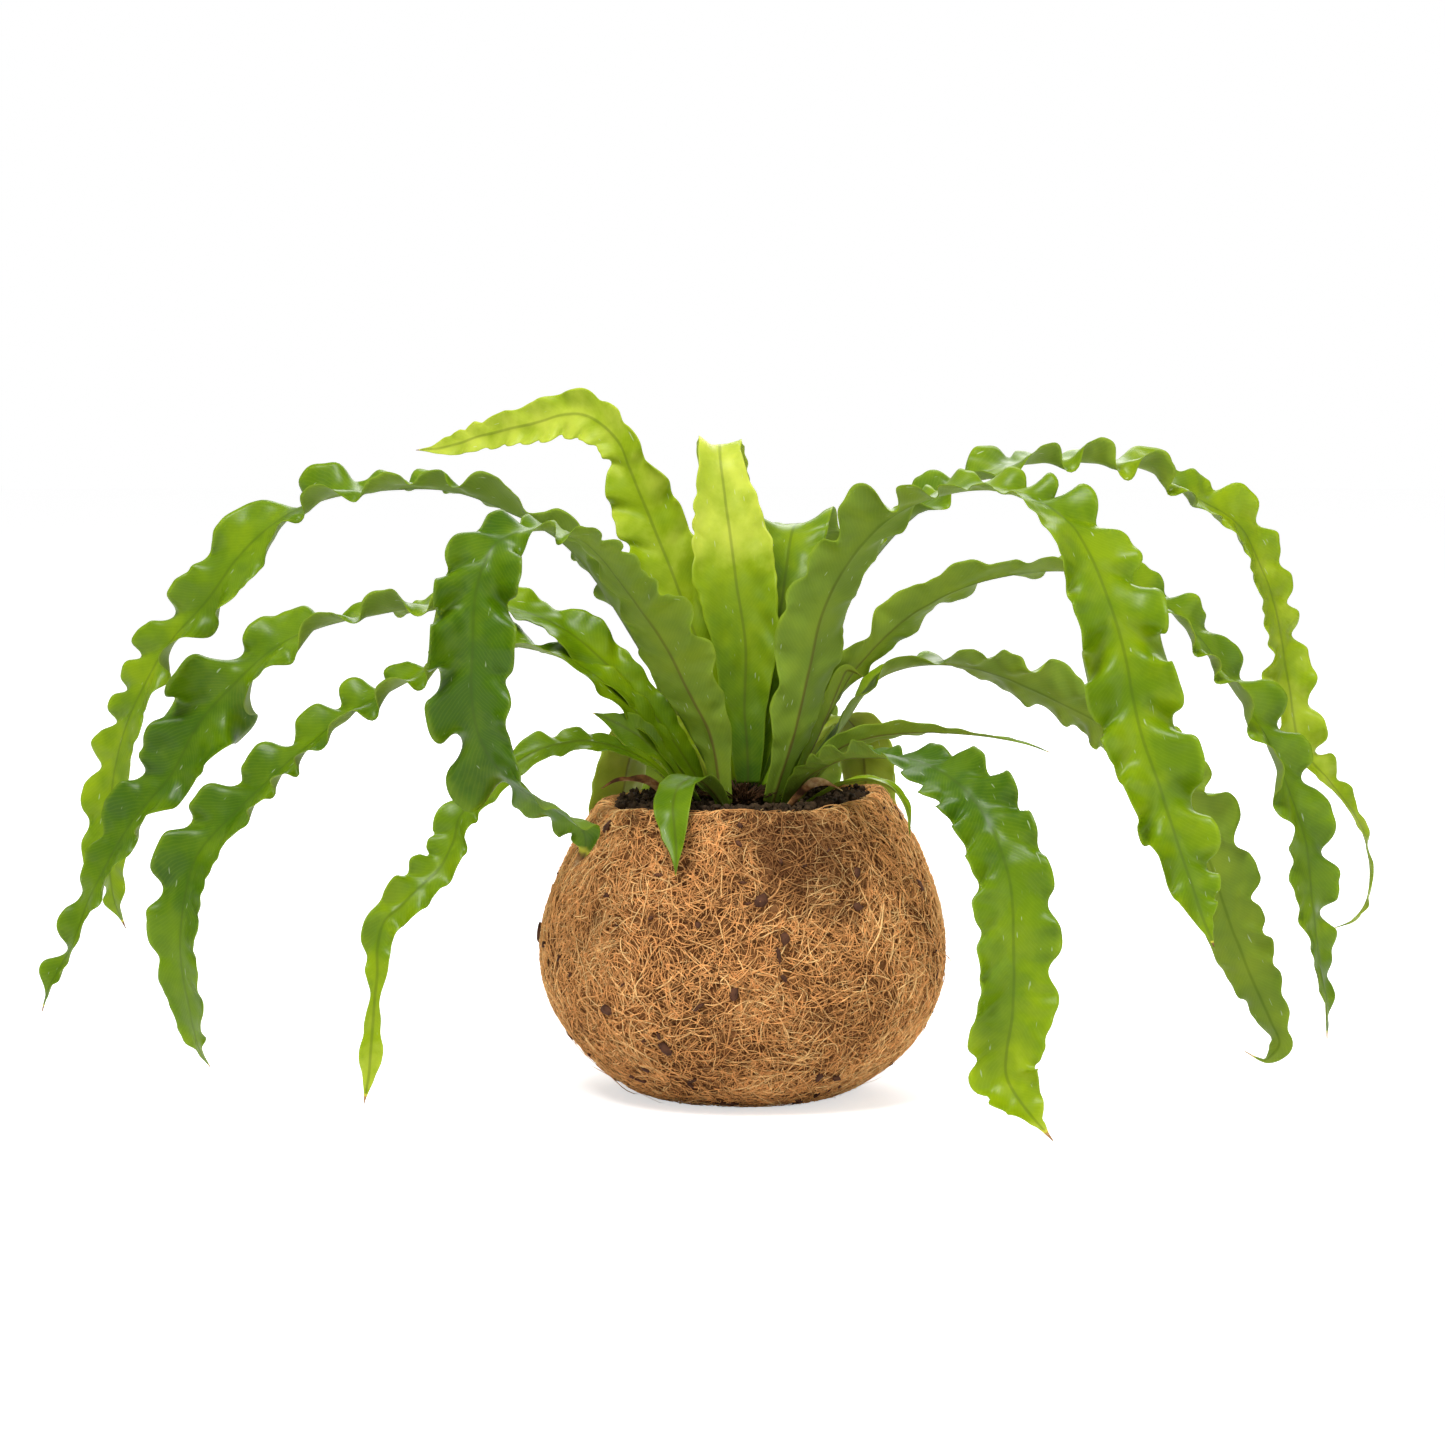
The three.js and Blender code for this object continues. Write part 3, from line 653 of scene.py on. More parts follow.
class KOKEDAMA_OT_pot(bpy.types.Operator):
    """Builds the coconut-fibre pot: its wall, matted and loose fibres, husk flecks and the husk chip"""

    bl_idname = "kokedama.pot"
    bl_label = "Coir Pot"

    def execute(self, context):
        plan = context.scene.kokedama_pot
        skin = PotSkin("coir_pot", plan.wall)
        fibre = coir_material("Coir Fibre", plan, 0.0)
        # The wall under the fibres is a copy of the coir painted with the shade that falls in the gaps
        # between them.
        finish_piece(pot_wall(skin), coir_material("Matted Coir In Painted Shade", plan, 0.8), "coir", "coir_pot")
        rng = np.random.default_rng(11)
        mat = plan.fibres // FIBRE_BATCHES, plan.fibre_length, 1.2 * MM, 0.5 * MM
        for batch in range(FIBRE_BATCHES):
            lines, normals, level = fibre_lines(skin, rng, *mat)
            radii = self.radii(rng, lines, plan.fibre_radius)
            # Lower fibres are painted darker, as shade that falls deeper in the mat, over a tone that
            # differs at random.
            tones = np.clip(0.06 + 0.66 * level + rng.normal(0, 0.24, len(lines)), 0, 1)
            piece = strands(f"pot_fibres_{batch + 1}", lines, normals, radii, tones, 0.8)
            finish_piece(piece, fibre, "coir")
        loose = plan.loose_fibres, 2.2 * plan.fibre_length, 1.6 * MM, 3.4 * MM
        lines, normals, _ = fibre_lines(skin, rng, *loose)
        radii = self.radii(rng, lines, 0.8 * plan.fibre_radius)
        tones = np.clip(rng.normal(0.76, 0.16, len(lines)), 0, 1)
        finish_piece(strands("loose_fibres", lines, normals, radii, tones), fibre, "coir")
        husk = earth_material("Husk", plan.husk, 300.0, 2500.0, 0.8, 0.8, 0.2 * MM)
        finish_piece(self.flecks(skin, plan.flecks), husk, "husk")
        finish_piece(self.chip(), husk, "husk", "husk_chip")
        return {"FINISHED"}

    @staticmethod
    def radii(rng, lines, usual):
        share = np.linspace(-1, 1, lines.shape[1])
        thick = usual * rng.lognormal(0, 0.3, (len(lines), 1))
        return thick * np.maximum(1 - 0.6 * share**4, 0.15)

    @staticmethod
    def flecks(skin, count):
        """Flat ragged flecks, pressed in among the fibres."""
        rng = np.random.default_rng(23)
        turn = rng.uniform(0, FULL_TURN, count)
        way = rng.uniform(40 * MM, skin.rim_way, count)
        middles, normals = skin.at(turn, way, 1.2 * MM)
        corners = 9
        around = circle(corners)
        heading = rng.uniform(0, FULL_TURN, count)
        aside = unit(np.cross(normals, (0.0, 0.0, 1.0)))
        rise = np.cross(normals, aside)
        long_way = aside * np.cos(heading)[:, None] + rise * np.sin(heading)[:, None]
        short_way = np.cross(normals, long_way)
        size = (1.0 + 3.2 * rng.uniform(0, 1, count) ** 2) * MM
        ragged = rng.uniform(0.6, 1.15, (count, corners)) * size[:, None]
        slim = rng.uniform(0.3, 0.7, (count, 1))
        rings = middles[:, None] + long_way[:, None] * (ragged * np.cos(around))[..., None]
        rings = rings + short_way[:, None] * (ragged * slim * np.sin(around))[..., None]
        top = rings + normals[:, None] * 0.35 * MM
        low = rings - normals[:, None] * 0.5 * MM
        peak = middles[:, None] + normals[:, None] * 0.6 * MM
        foot = middles[:, None] - normals[:, None] * 0.6 * MM
        points = np.concatenate([top, low, peak, foot], axis=1)
        points[..., 2] = np.maximum(points[..., 2], 0)
        here = np.arange(corners)
        beside = (here + 1) % corners
        sheet = np.concatenate([
            np.stack([here, beside, np.full(corners, 2 * corners)], axis=1),
            np.stack([beside + corners, here + corners, np.full(corners, 2 * corners + 1)], axis=1),
            np.stack([here + corners, beside + corners, beside], axis=1),
            np.stack([here + corners, beside, here], axis=1),
        ])
        faces = (sheet + np.arange(count)[:, None, None] * points.shape[1]).reshape(-1, 3)
        return mesh_piece("husk_flecks", points.reshape(-1, 3), [faces])

    @staticmethod
    def chip():
        """A splintered chip of husk in the place of its frame solid."""
        middle, half = middle_and_half("husk_chip")
        rows, sides = 26, 28
        points = []
        for level in np.linspace(-1, 1, rows):
            taper = max(1 - abs(level) ** 3, 0.02) ** 0.5 * (0.85 - 0.2 * level)
            for angle in circle(sides):
                square = max(abs(math.cos(angle)), abs(math.sin(angle))) ** -0.6
                out = Vector((math.cos(angle), math.sin(angle), 0)) * square * taper
                spot = Vector((out.x * half[0], out.y * half[1], level * half[2]))
                ridge = 1 + 0.25 * rough((spot.x, spot.y, spot.z * 0.25), 1.1 * MM, 3.0)
                points.append(middle + np.array((spot.x * ridge, spot.y * ridge, spot.z)))
        return closed_tube("husk_chip_rough", points, rows, sides)


# ---------- soil and crown ----------
def crumb_mesh(name, middles, sizes, rng):
    """Ragged crumbs, each a squashed and dented ball."""
    rings, sides = 5, 8
    tilt = np.linspace(0, math.pi, rings + 2)[1:-1]
    turn = circle(sides)
    shell = np.stack([
        np.outer(np.sin(tilt), np.cos(turn)),
        np.outer(np.sin(tilt), np.sin(turn)),
        np.outer(np.cos(tilt), np.ones(sides)),
    ], axis=-1).reshape(-1, 3)
    shell = np.concatenate([shell, [(0, 0, 1), (0, 0, -1)]])
    count = len(middles)
    dents = rng.uniform(0.62, 1.2, (count, len(shell), 1))
    stretch = rng.uniform(0.6, 1.25, (count, 1, 3))
    balls = shell * dents * stretch * sizes[:, None, None]
    yaw = rng.uniform(0, FULL_TURN, count)
    cos, sin = np.cos(yaw)[:, None], np.sin(yaw)[:, None]
    x = balls[..., 0] * cos - balls[..., 1] * sin
    y = balls[..., 0] * sin + balls[..., 1] * cos
    points = np.stack([x, y, balls[..., 2]], axis=-1) + middles[:, None]
    quads = tube_faces(rings, sides)[:, ::-1]
    here = np.arange(sides)
    beside = (here + 1) % sides
    top = np.stack([np.full(sides, rings * sides), here, beside], axis=1)
    end = (rings - 1) * sides
    low = np.stack([np.full(sides, rings * sides + 1), end + beside, end + here], axis=1)
    offset = np.arange(count)[:, None, None] * len(shell)
    faces = [(part + offset).reshape(-1, part.shape[1]) for part in (quads, np.concatenate([top, low]))]
    return mesh_piece(name, points.reshape(-1, 3), faces)


class KOKEDAMA_OT_soil(bpy.types.Operator):
    """Builds the potting soil as a rough bed with loose crumbs on it"""

    bl_idname = "kokedama.soil"
    bl_label = "Potting Soil"

    def execute(self, context):
        plan = context.scene.kokedama_soil
        skin = PotSkin("coir_pot", context.scene.kokedama_pot.wall)
        tree = frame_tree("potting_soil")
        soil = earth_material("Moist Soil", plan.soil, 220.0, 1500.0, 0.9, 0.9, 0.4 * MM)
        sides, rings = 200, 60
        turn = circle(sides)
        edge = skin.radius(turn, np.full(sides, 0.93)) - skin.wall - 0.5 * MM
        rows = [self.surface(tree, turn, edge * (1 - ring / rings)) for ring in range(rings)]
        under = [(0.9 * x, 0.9 * y, skin.high * 0.7) for x, y, _ in rows[0]]
        bed = closed_tube("soil_bed", [under, *rows], rings + 1, sides)
        finish_piece(bed, soil, "soil", "potting_soil")
        rng = np.random.default_rng(31)
        out = np.sqrt(rng.uniform(0, 1, plan.crumbs)) * (edge.min() - 1.2 * MM)
        turn = rng.uniform(0, FULL_TURN, plan.crumbs)
        sizes = plan.crumb_size * np.clip(rng.lognormal(0, 0.42, plan.crumbs), 0.35, 2.2)
        middles = np.array(self.surface(tree, turn, out))
        middles[:, 2] += sizes * 0.35 + rng.uniform(0, 1, plan.crumbs) ** 3 * 2.2 * MM
        finish_piece(crumb_mesh("soil_crumbs", middles, sizes, rng), soil, "soil")
        return {"FINISHED"}

    @staticmethod
    def surface(tree, turns, radii):
        """Points on the soil, which heaps up towards the pot's wall."""
        points = []
        for turn, radius in zip(turns, radii):
            x, y = radius * math.cos(turn), radius * math.sin(turn)
            hit = tree.ray_cast(Vector((x, y, 1)), Vector((0, 0, -1)))[0]
            height = hit.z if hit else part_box("potting_soil")[1][2] - 3 * MM
            heap = 4.2 * smooth_step(18 * MM, 36 * MM, math.hypot(x, y))
            lumpy = 1.3 * rough((x, y, 0), 9 * MM) + 0.9 * rough((x, y, 0), 3 * MM, 5.0)
            points.append((x, y, height + (heap + lumpy) * MM))
        return points


class KOKEDAMA_OT_crown(bpy.types.Operator):
    """Builds the fern's crown: a woody core under overlapping brown scales"""

    bl_idname = "kokedama.crown"
    bl_label = "Fern Crown"

    def execute(self, context):
        plan = context.scene.kokedama_soil
        middle, half = middle_and_half("fern_crown")
        scaly = earth_material("Brown Scales", plan.scale, 400.0, 3000.0, 0.9, 0.75, 0.15 * MM)
        rows, sides = 22, 64
        points = []
        for level in np.linspace(0.02, 0.98, rows):
            out = math.sin(math.pi * level) ** 0.6
            for angle in circle(sides):
                spot = np.array((math.cos(angle) * out, math.sin(angle) * out, 2 * level - 1))
                points.append(middle + spot * half * (1 + 0.12 * rough(spot, 0.25)))
        core = closed_tube("crown_core", points, rows, sides)
        finish_piece(core, scaly, "crown_scales", "fern_crown")
        rng = np.random.default_rng(41)
        turn = rng.uniform(0, FULL_TURN, plan.scales)
        out = np.sqrt(rng.uniform(0, 1, plan.scales)) * half[0]
        lean = 0.25 + 0.9 * out / half[0]
        ahead = np.stack([np.cos(turn), np.sin(turn), np.zeros_like(turn)], axis=-1)
        foot = ahead * out[:, None] + (0, 0, middle[2])
        stops = 7
        share = np.linspace(0, 1, stops)[:, None]
        size = rng.uniform(4, 9, plan.scales)[:, None, None] * MM
        tips = ahead * np.sin(lean)[:, None] + np.array((0, 0, 1)) * np.cos(lean)[:, None]
        sag = ahead * 0.35
        lines = foot[:, None] + size * (tips[:, None] * share + sag[:, None] * share**2)
        normals = np.broadcast_to(unit(ahead + (0, 0, 0.2))[:, None], lines.shape)
        width = (1 - np.linspace(-0.6, 1, stops) ** 2) * 0.75 * MM
        radii = np.broadcast_to(width, lines.shape[:2])
        tones = rng.uniform(0, 1, plan.scales)
        finish_piece(strands("crown_scale_tips", lines, normals, radii, tones, 0.25), scaly, "crown_scales")
        return {"FINISHED"}


# ---------- fronds ----------
ACROSS = np.linspace(-1, 1, 29)  # from a blade's right margin to its left one
REACH = np.abs(ACROSS)
MARGIN = (ACROSS > 0).astype(int)  # the margin that each point across goes with
FULL_HALF = 9 * MM  # half width from which a blade's folds have their full size
STRAY_ASIDE = 0.9 * MM  # how far a blade's midrib wanders from its frame solid's
STRAY_UP = 0.8 * MM
SWAY = 0.3  # how far a blade turns about its midrib by chance, in radians
HEAVE = 3.2 * MM  # slow rise and fall of the margins
CRINKLE = 0.9 * MM  # quick rise and fall of the margins
BULGE = 0.11  # how much wider the margins are at the crests of their folds
NIBBLE = 0.035  # small unevenness of the width
DIMPLES = 7  # sets of shallow waves over the whole blade
VEIN_RIDGE = 0.03 * MM
VEIN_SPACING = 3.4 * MM
VEIN_SLANT = 1.1
LEAST_HEIGHT = 0.8 * MM  # of a blade over the floor

# For each frond: youth from crown to tip (0 deep green, 1 yellow-green), how strongly its margins swing to
# and fro from crown to tip, the distance between two waves of the margin on its widest stretch, and the
# length of dried tip, both in millimetres.
LOOKS = {
    "frond_front_left": (
        (0.34, 0.42, 0.42, 0.14, 0.0, 0.0, 0.26), (0.2, 0.55, 0.75, 1.0, 1.4, 1.3, 1.3, 0.9), 22, 14,
    ),
    "frond_front_right": (
        (0.3, 0.34, 0.36, 0.38, 0.4, 0.4, 0.44), (0.2, 0.6, 0.95, 1.1, 1.3, 1.3, 1.1, 0.8), 24, 3,
    ),
    "frond_middle_tall": ((0.0, 0.4, 0.88, 0.98, 0.92, 0.8), (0.05, 0.2, 0.3, 0.35), 15, 2),
    "frond_tall_left": ((0.4, 0.56, 0.64, 0.76, 0.84, 0.82), (0.15, 0.5, 0.7, 0.8, 0.6), 20, 3),
    "frond_left_high": (
        (0.3, 0.28, 0.28, 0.28, 0.34, 0.44, 0.54), (0.2, 0.6, 0.9, 1.0, 1.1, 1.0, 0.9, 0.7), 26, 5,
    ),
    "frond_left_middle": (
        (0.28, 0.3, 0.44, 0.3, 0.02, 0.16, 0.34), (0.2, 0.5, 0.9, 1.1, 1.3, 1.2, 0.9), 29, 5,
    ),
    "frond_left_low": ((0.34, 0.34, 0.24, 0.16, 0.14, 0.36), (0.15, 0.5, 1.0, 1.0, 1.0, 0.8, 0.6), 22, 2),
    "frond_left_short": ((0.3, 0.34), (0.3, 0.5), 13, 1),
    "frond_left_thin": ((0.32, 0.34, 0.3, 0.34, 0.5, 0.72), (0.2, 0.7, 0.9, 0.9, 0.6), 18, 6),
    # Youth raised to paint translucent light on a blade that lies in shade behind the others.
    "frond_back_left": ((0.7, 0.9, 1.0), (0.1, 0.25), 17, 2),
    "frond_back_tall": ((0.4, 0.46, 0.5), (0.2, 0.7, 0.9), 18, 2),
    "frond_back_middle": ((0.4, 0.4, 0.45), (0.3, 0.8, 1.0), 20, 4),
    "frond_back_low": ((0.35, 0.4, 0.45), (0.3, 0.8, 1.0), 19, 3),
    # Youth raised to paint translucent light on a blade that lies in shade behind the others.
    "frond_back_right": ((0.7, 0.9, 1.0), (0.15, 0.3), 16, 2),
    "frond_right_high": (
        (0.3, 0.3, 0.34, 0.48, 0.6, 0.64, 0.66), (0.2, 0.6, 1.0, 1.1, 1.1, 1.0, 0.7), 24, 2,
    ),
    "frond_right_middle": ((0.46, 0.5, 0.44, 0.3, 0.3, 0.38), (0.15, 0.5, 0.85, 0.9, 0.9, 0.8, 0.6), 24, 5),
    "frond_right_inner": ((0.5, 0.62), (0.3, 0.4), 13, 1),
    "frond_right_low": ((0.36, 0.38, 0.42, 0.46, 0.46, 0.36), (0.15, 0.6, 0.8, 1.0, 1.0, 1.0, 0.7), 24, 7),
    "frond_right_thin": ((0.36, 0.42), (0.1, 0.25), 15, 2),
    "frond_front_low": ((0.2, 0.04, 0.0, 0.18, 0.46, 0.8), (0.3, 0.8, 1.05, 1.0, 0.9, 0.6), 18, 7),
    "frond_rim_right": ((0.5, 0.55), (0.2, 0.3), 13, 1),
    "frond_rim_front": ((0.2, 0.2, 0.26), (0.15, 0.3), 16, 1),
    "dead_frond_left": ((0.5, 0.5), (1.1, 1.1), 8, 90),
    "dead_frond_right": ((0.5, 0.5), (1.1, 1.1), 8, 90),
}
ROLL = {"dead_frond_left": 1.0, "dead_frond_right": 1.1}  # half angle of a rolled-up blade, in radians
# How far a blade turns about its midrib, in radians: where it leaves the crown, and towards its tip.
TURN = {
    "frond_tall_left": (0, -0.85),
    "frond_left_high": (0, -0.55),
    "frond_left_middle": (-0.75, 0),
    "frond_left_low": (-0.6, -0.2),
    "frond_left_thin": (-0.5, 0),
    "frond_left_short": (-0.6, -0.3),
    "frond_right_high": (0, 0.5),
    "frond_right_thin": (-0.3, 0),
    "frond_right_middle": (-0.2, 0.2),
}


def blade_stations(node):
    """The middle, upward direction and half width at each station of a frame blade, from the crown out."""
    solid = frame["nodes"][node].data
    places = np.round(np.array([vertex.co[:] for vertex in solid.vertices]) / 1e-6).astype(np.int64)
    spots, index = np.unique(places, axis=0, return_inverse=True)
    index = index.ravel()
    spots = spots * 1e-6
    near = {i: set() for i in range(len(spots))}
    for edge in solid.edges:
        first, second = [int(index[i]) for i in edge.vertices]
        if first != second:
            near[first].add(second)
            near[second].add(first)
    crown = middle_and_half("fern_crown")[0]
    ring = np.argsort(np.linalg.norm(spots - crown, axis=1))[:4].tolist()
    seen, rings = set(ring), [ring]
    while True:
        ring = sorted({far for point in rings[-1] for far in near[point]} - seen)
        if not ring:
            break
        seen.update(ring)
        rings.append(ring)
    if any(len(ring) != 4 for ring in rings) or len(seen) != len(spots):
        raise RuntimeError(f"{node} is not a ribbon of four-point rings")
    middles, ups, halves = [], [], []
    for ring in spots[np.array(rings)]:
        gaps = np.linalg.norm(ring[:, None] - ring[None], axis=-1)
        one, other = np.unravel_index(gaps.argmax(), gaps.shape)
        edge_middle = (ring[one] + ring[other]) / 2
        rest = sorted({0, 1, 2, 3} - {one, other}, key=lambda i: np.linalg.norm(ring[i] - edge_middle))
        top, under = ring[rest[0]], ring[rest[1]]
        middles.append((top + under) / 2)
        ups.append(unit(top - under))
        halves.append(gaps.max() / 2)
    return np.array(middles), np.array(ups), np.array(halves)


def resample(values, at):
    """A smooth curve through evenly spaced values, read at places counted in stations."""
    values = np.asarray(values, dtype=float)
    padded = np.concatenate([2 * values[:1] - values[1:2], values, 2 * values[-1:] - values[-2:-1]])
    before = np.clip(at.astype(int), 0, len(values) - 2)
    t = at - before
    t = t if values.ndim == 1 else t[:, None]
    p0, p1, p2, p3 = [padded[before + i] for i in range(4)]
    return 0.5 * (2 * p1 + (p2 - p0) * t + (2 * p0 - 5 * p1 + 4 * p2 - p3) * t**2
                  + (3 * p1 - 3 * p2 + p3 - p0) * t**3)


def ruffle(phase, swing, wave):
    """How far a margin moves off the blade and along it, if its direction swings to and fro by an angle
    that follows a sine, which is how a margin longer than its midrib lies."""
    still = 1 - swing**2 / 4 + swing**4 / 64
    first = swing / 2 - swing**3 / 16 + swing**5 / 384
    second = swing**2 / 8 - swing**4 / 96
    scale = wave / FULL_TURN
    return 2 * first / still * scale * np.cos(phase), second / still * scale * np.sin(2 * phase)


class BladePath:
    """A blade from the crown to its tip, row by row: its middle, how far along it is, its half width, how
    free it is to ruffle, and its directions forward, left and up."""

    def __init__(self, node, step, rng):
        middles, ups, halves = blade_stations(node)
        run = np.linalg.norm(np.diff(middles, axis=0), axis=1).sum()
        at = np.linspace(0, len(middles) - 1, max(int(run / step), 30))
        self.middle = resample(middles, at)
        half = np.maximum(resample(halves, at), 0.6 * MM)
        self.forward = unit(np.gradient(self.middle, axis=0))
        self.left = unit(np.cross(resample(ups, at), self.forward))
        self.up = np.cross(self.forward, self.left)
        steps = np.linalg.norm(np.diff(self.middle, axis=0), axis=1)
        self.along = np.concatenate([[0], np.cumsum(steps)])
        self.to_tip = self.along[-1] - self.along
        self.share = self.along / self.along[-1]
        point = np.maximum(np.clip(self.to_tip / (16 * MM), 0, 1) ** 0.75, 0.04)
        self.half = half * point * (1 + 0.07 * wander(self.along, 24 * MM, rng))
        self.free = smooth_step(6 * MM, 30 * MM, self.along) * smooth_step(0, 14 * MM, self.to_tip)
        self.stray(rng)
        self.turn(node, rng)

    def stray(self, rng):
        aside = STRAY_ASIDE * self.free * wander(self.along, 26 * MM, rng)
        rise = STRAY_UP * self.free * wander(self.along, 30 * MM, rng)
        self.middle = self.middle + self.left * aside[:, None] + self.up * rise[:, None]

    def turn(self, node, rng):
        """Turns the blade about its midrib."""
        along = self.along
        turn = SWAY * self.free * smooth_step(25 * MM, 90 * MM, along) * wander(along, 38 * MM, rng)
        near_crown, near_tip = TURN.get(node, (0, 0))
        turn += near_crown * smooth_step(0, 15 * MM, along) * smooth_step(120 * MM, 60 * MM, along)
        turn += near_tip * smooth_step(0.42, 0.68, self.share)
        cos, sin = np.cos(turn)[:, None], np.sin(turn)[:, None]
        self.left, self.up = self.left * cos + self.up * sin, self.up * cos - self.left * sin


def both_margins(along, spacing, rng):
    """A smooth random curve for each margin, spread to the points on its side of the midrib."""
    return np.stack([wander(along, spacing, rng) for _ in range(2)], axis=1)[:, MARGIN]


def margin_folds(path, force, wave, lobe, rng):
    """The folds of both margins: the phase of their wave, how far they swing, how long the wave is, and how
    much they bulge."""
    along, folds = path.along, []
    for _ in range(2):
        wider = 0.5 + 0.5 * path.half / path.half.max()
        waves = wave * MM * wider * (1 + 0.5 * wander(along, 23 * MM, rng))
        here = rng.uniform(0, FULL_TURN) + np.cumsum(np.gradient(along) / waves) * FULL_TURN
        lean = 0.35 * wander(along, 40 * MM, rng)
        phase = here - lobe * np.sin(here) - lean * np.cos(here)
        slim = np.clip(path.half / FULL_HALF, 0.35, 1)
        swing = force * slim * np.clip(0.85 + 0.6 * wander(along, 21 * MM, rng), 0.3, 1.3)
        bulge = BULGE * np.minimum(force, 1) * (1 + 0.9 * wander(along, 18 * MM, rng))
        folds.append((phase, swing, waves, bulge))
    return zip(*folds)


def blade_sheet(node, plan, path, rng):
    """A blade as a sheet with its folds, dimples and veins, and how far aside of the midrib it reaches."""
    _, strength, wave, _ = LOOKS[node]
    along, half, free = path.along, path.half[:, None], path.free[:, None]
    force = np.interp(path.share, np.linspace(0, 1, len(strength)), strength) * path.free
    root = along[:, None] - plan.fold_slant * half * REACH
    phase, swing, waves, bulge = [
        np.stack([np.interp(root[:, i], along, each[side]) for i, side in enumerate(MARGIN)], axis=1)
        for each in margin_folds(path, force, wave, plan.lobe, rng)
    ]
    off, ahead = ruffle(phase, swing * REACH**1.35, waves)
    force = force[:, None]
    off += HEAVE * np.minimum(force, 1) * both_margins(along, 34 * MM, rng) * REACH * (half / half.max())
    slender = np.clip(half / FULL_HALF, 0.2, 1)
    crinkle = CRINKLE * np.minimum(force + 0.15, 1) * slender
    off += crinkle * both_margins(along, 3.6 * MM, rng) * REACH**3
    for _ in range(DIMPLES):
        heading, spread = rng.uniform(0, math.pi), rng.uniform(6, 15) * MM
        onwards = along[:, None] * math.cos(heading) + half * ACROSS * math.sin(heading)
        dimple = np.sin(onwards * FULL_TURN / spread)
        off += 0.02 * spread * free * slender * dimple * np.sqrt(REACH)
    drift = 4 * MM * wander(along, 11 * MM, rng)
    veins = np.sin(((along + drift)[:, None] - VEIN_SLANT * half * REACH) * FULL_TURN / VEIN_SPACING)
    off += VEIN_RIDGE * free * veins * REACH * (1 - REACH**4)
    roll = ROLL.get(node, 2 * CAD_CUP)
    uneven = NIBBLE * free * both_margins(along, 4.5 * MM, rng)
    wider = 1 + (bulge * np.cos(phase + 0.3) + uneven) * REACH**2
    sideways = half * np.sin(roll * ACROSS) / roll * wider
    lift = half * (1 - np.cos(roll * ACROSS)) / roll + off
    sheet = path.middle[:, None] + path.left[:, None] * sideways[..., None]
    sheet = sheet + path.up[:, None] * lift[..., None] + path.forward[:, None] * ahead[..., None]
    sheet[..., 2] = np.maximum(sheet[..., 2], LEAST_HEIGHT)
    return sheet, sideways


def blade_marks(node, path, sideways):
    """What each point of a blade carries for its material: its place on the blade, and its look."""
    youth, _, _, dried = LOOKS[node]
    across, along = np.broadcast_arrays(ACROSS, path.along[:, None])
    marks = np.stack([across, along, sideways], axis=-1)
    marks = np.concatenate([marks, marks[:, ::-1]], axis=1)
    look = np.zeros_like(marks)
    look[..., 0] = np.interp(path.share, np.linspace(0, 1, len(youth)), youth)[:, None]
    look[:, len(ACROSS):, 1] = 1
    look[..., 2] = smooth_step(dried * MM, 0.25 * dried * MM, path.to_tip)[:, None]
    if node in ROLL:
        look[..., 2] = 1
    return {"blade": marks.reshape(-1, 3), "look": look.reshape(-1, 3)}


def blade_mesh(name, node, plan):
    """A fern blade along the middle of its frame solid, with ruffled margins, a midrib and pointed ends."""
    rng = np.random.default_rng(sum(ord(letter) for letter in node))
    path = BladePath(node, plan.step, rng)
    sheet, sideways = blade_sheet(node, plan, path, rng)
    normal = unit(np.cross(np.gradient(sheet, axis=0), np.gradient(sheet, axis=1)))
    normal = normal * np.where((normal * path.up[:, None]).sum(axis=-1).mean() > 0, 1.0, -1.0)
    from_rib = np.abs(sideways) / (1.0 * MM)
    rib = plan.midrib * np.exp(-from_rib**2) * (0.25 + 0.75 * path.to_tip / path.along[-1])[:, None]
    flesh = plan.blade * (1 - 0.7 * REACH**6) * np.clip(0.25 + path.to_tip / (9 * MM), 0, 1)[:, None]
    top = sheet + normal * (flesh / 2 + 0.25 * rib)[..., None]
    low = sheet - normal * (flesh / 2 + 0.75 * rib)[..., None]
    points = np.concatenate([top, low[:, ::-1]], axis=1)
    rows, ring = points.shape[:2]
    points = points.reshape(-1, 3)
    step = np.arange(len(ACROSS) - 1)
    base_cap = np.stack([step, ring - 1 - step, ring - 2 - step, step + 1], axis=1)
    tip_cap = base_cap[:, ::-1] + (rows - 1) * ring
    faces = np.concatenate([tube_faces(rows, ring), base_cap, tip_cap])
    layout = blade_layout(rows, ring, len(ACROSS))
    if signed_volume(points, faces) < 0:
        faces, layout = faces[:, ::-1], layout.reshape(-1, 4, 2)[:, ::-1].reshape(-1, 2)
    return mesh_piece(name, points, [faces], blade_marks(node, path, sideways), layout)


def signed_volume(points, quads):
    first, second, third, fourth = [points[quads[:, i]] for i in range(4)]
    return (np.cross(first, second) * third).sum() + (np.cross(first, third) * fourth).sum()


def blade_layout(rows, ring, columns):
    """The blade's skin unrolled, top beside underside, and cut across into strips that lie side by side."""
    strips = max(round(math.sqrt(rows / ring)), 1)
    row, side = np.meshgrid(np.arange(rows - 1), np.arange(ring), indexing="ij")
    per_strip = math.ceil((rows - 1) / strips)
    strip = row // per_strip
    corners = []
    for down, over in ((0, 0), (0, 1), (1, 1), (1, 0)):
        u = (strip + 0.02 + 0.94 * (side + over) / ring) / strips
        v = 0.02 + 0.94 * (row - strip * per_strip + down) / per_strip
        corners.append(np.stack([u, v], axis=-1))
    body = np.stack(corners, axis=2).reshape(-1, 4, 2)
    spot = np.linspace(0.02, 0.94, columns) / strips
    low, high = np.full(columns - 1, 0.97), np.full(columns - 1, 0.99)
    cap = np.stack([
        np.stack([spot[:-1], low], axis=-1), np.stack([spot[:-1], high], axis=-1),
        np.stack([spot[1:], high], axis=-1), np.stack([spot[1:], low], axis=-1),
    ], axis=1)
    return np.concatenate([body, cap, cap[:, ::-1]]).reshape(-1, 2)


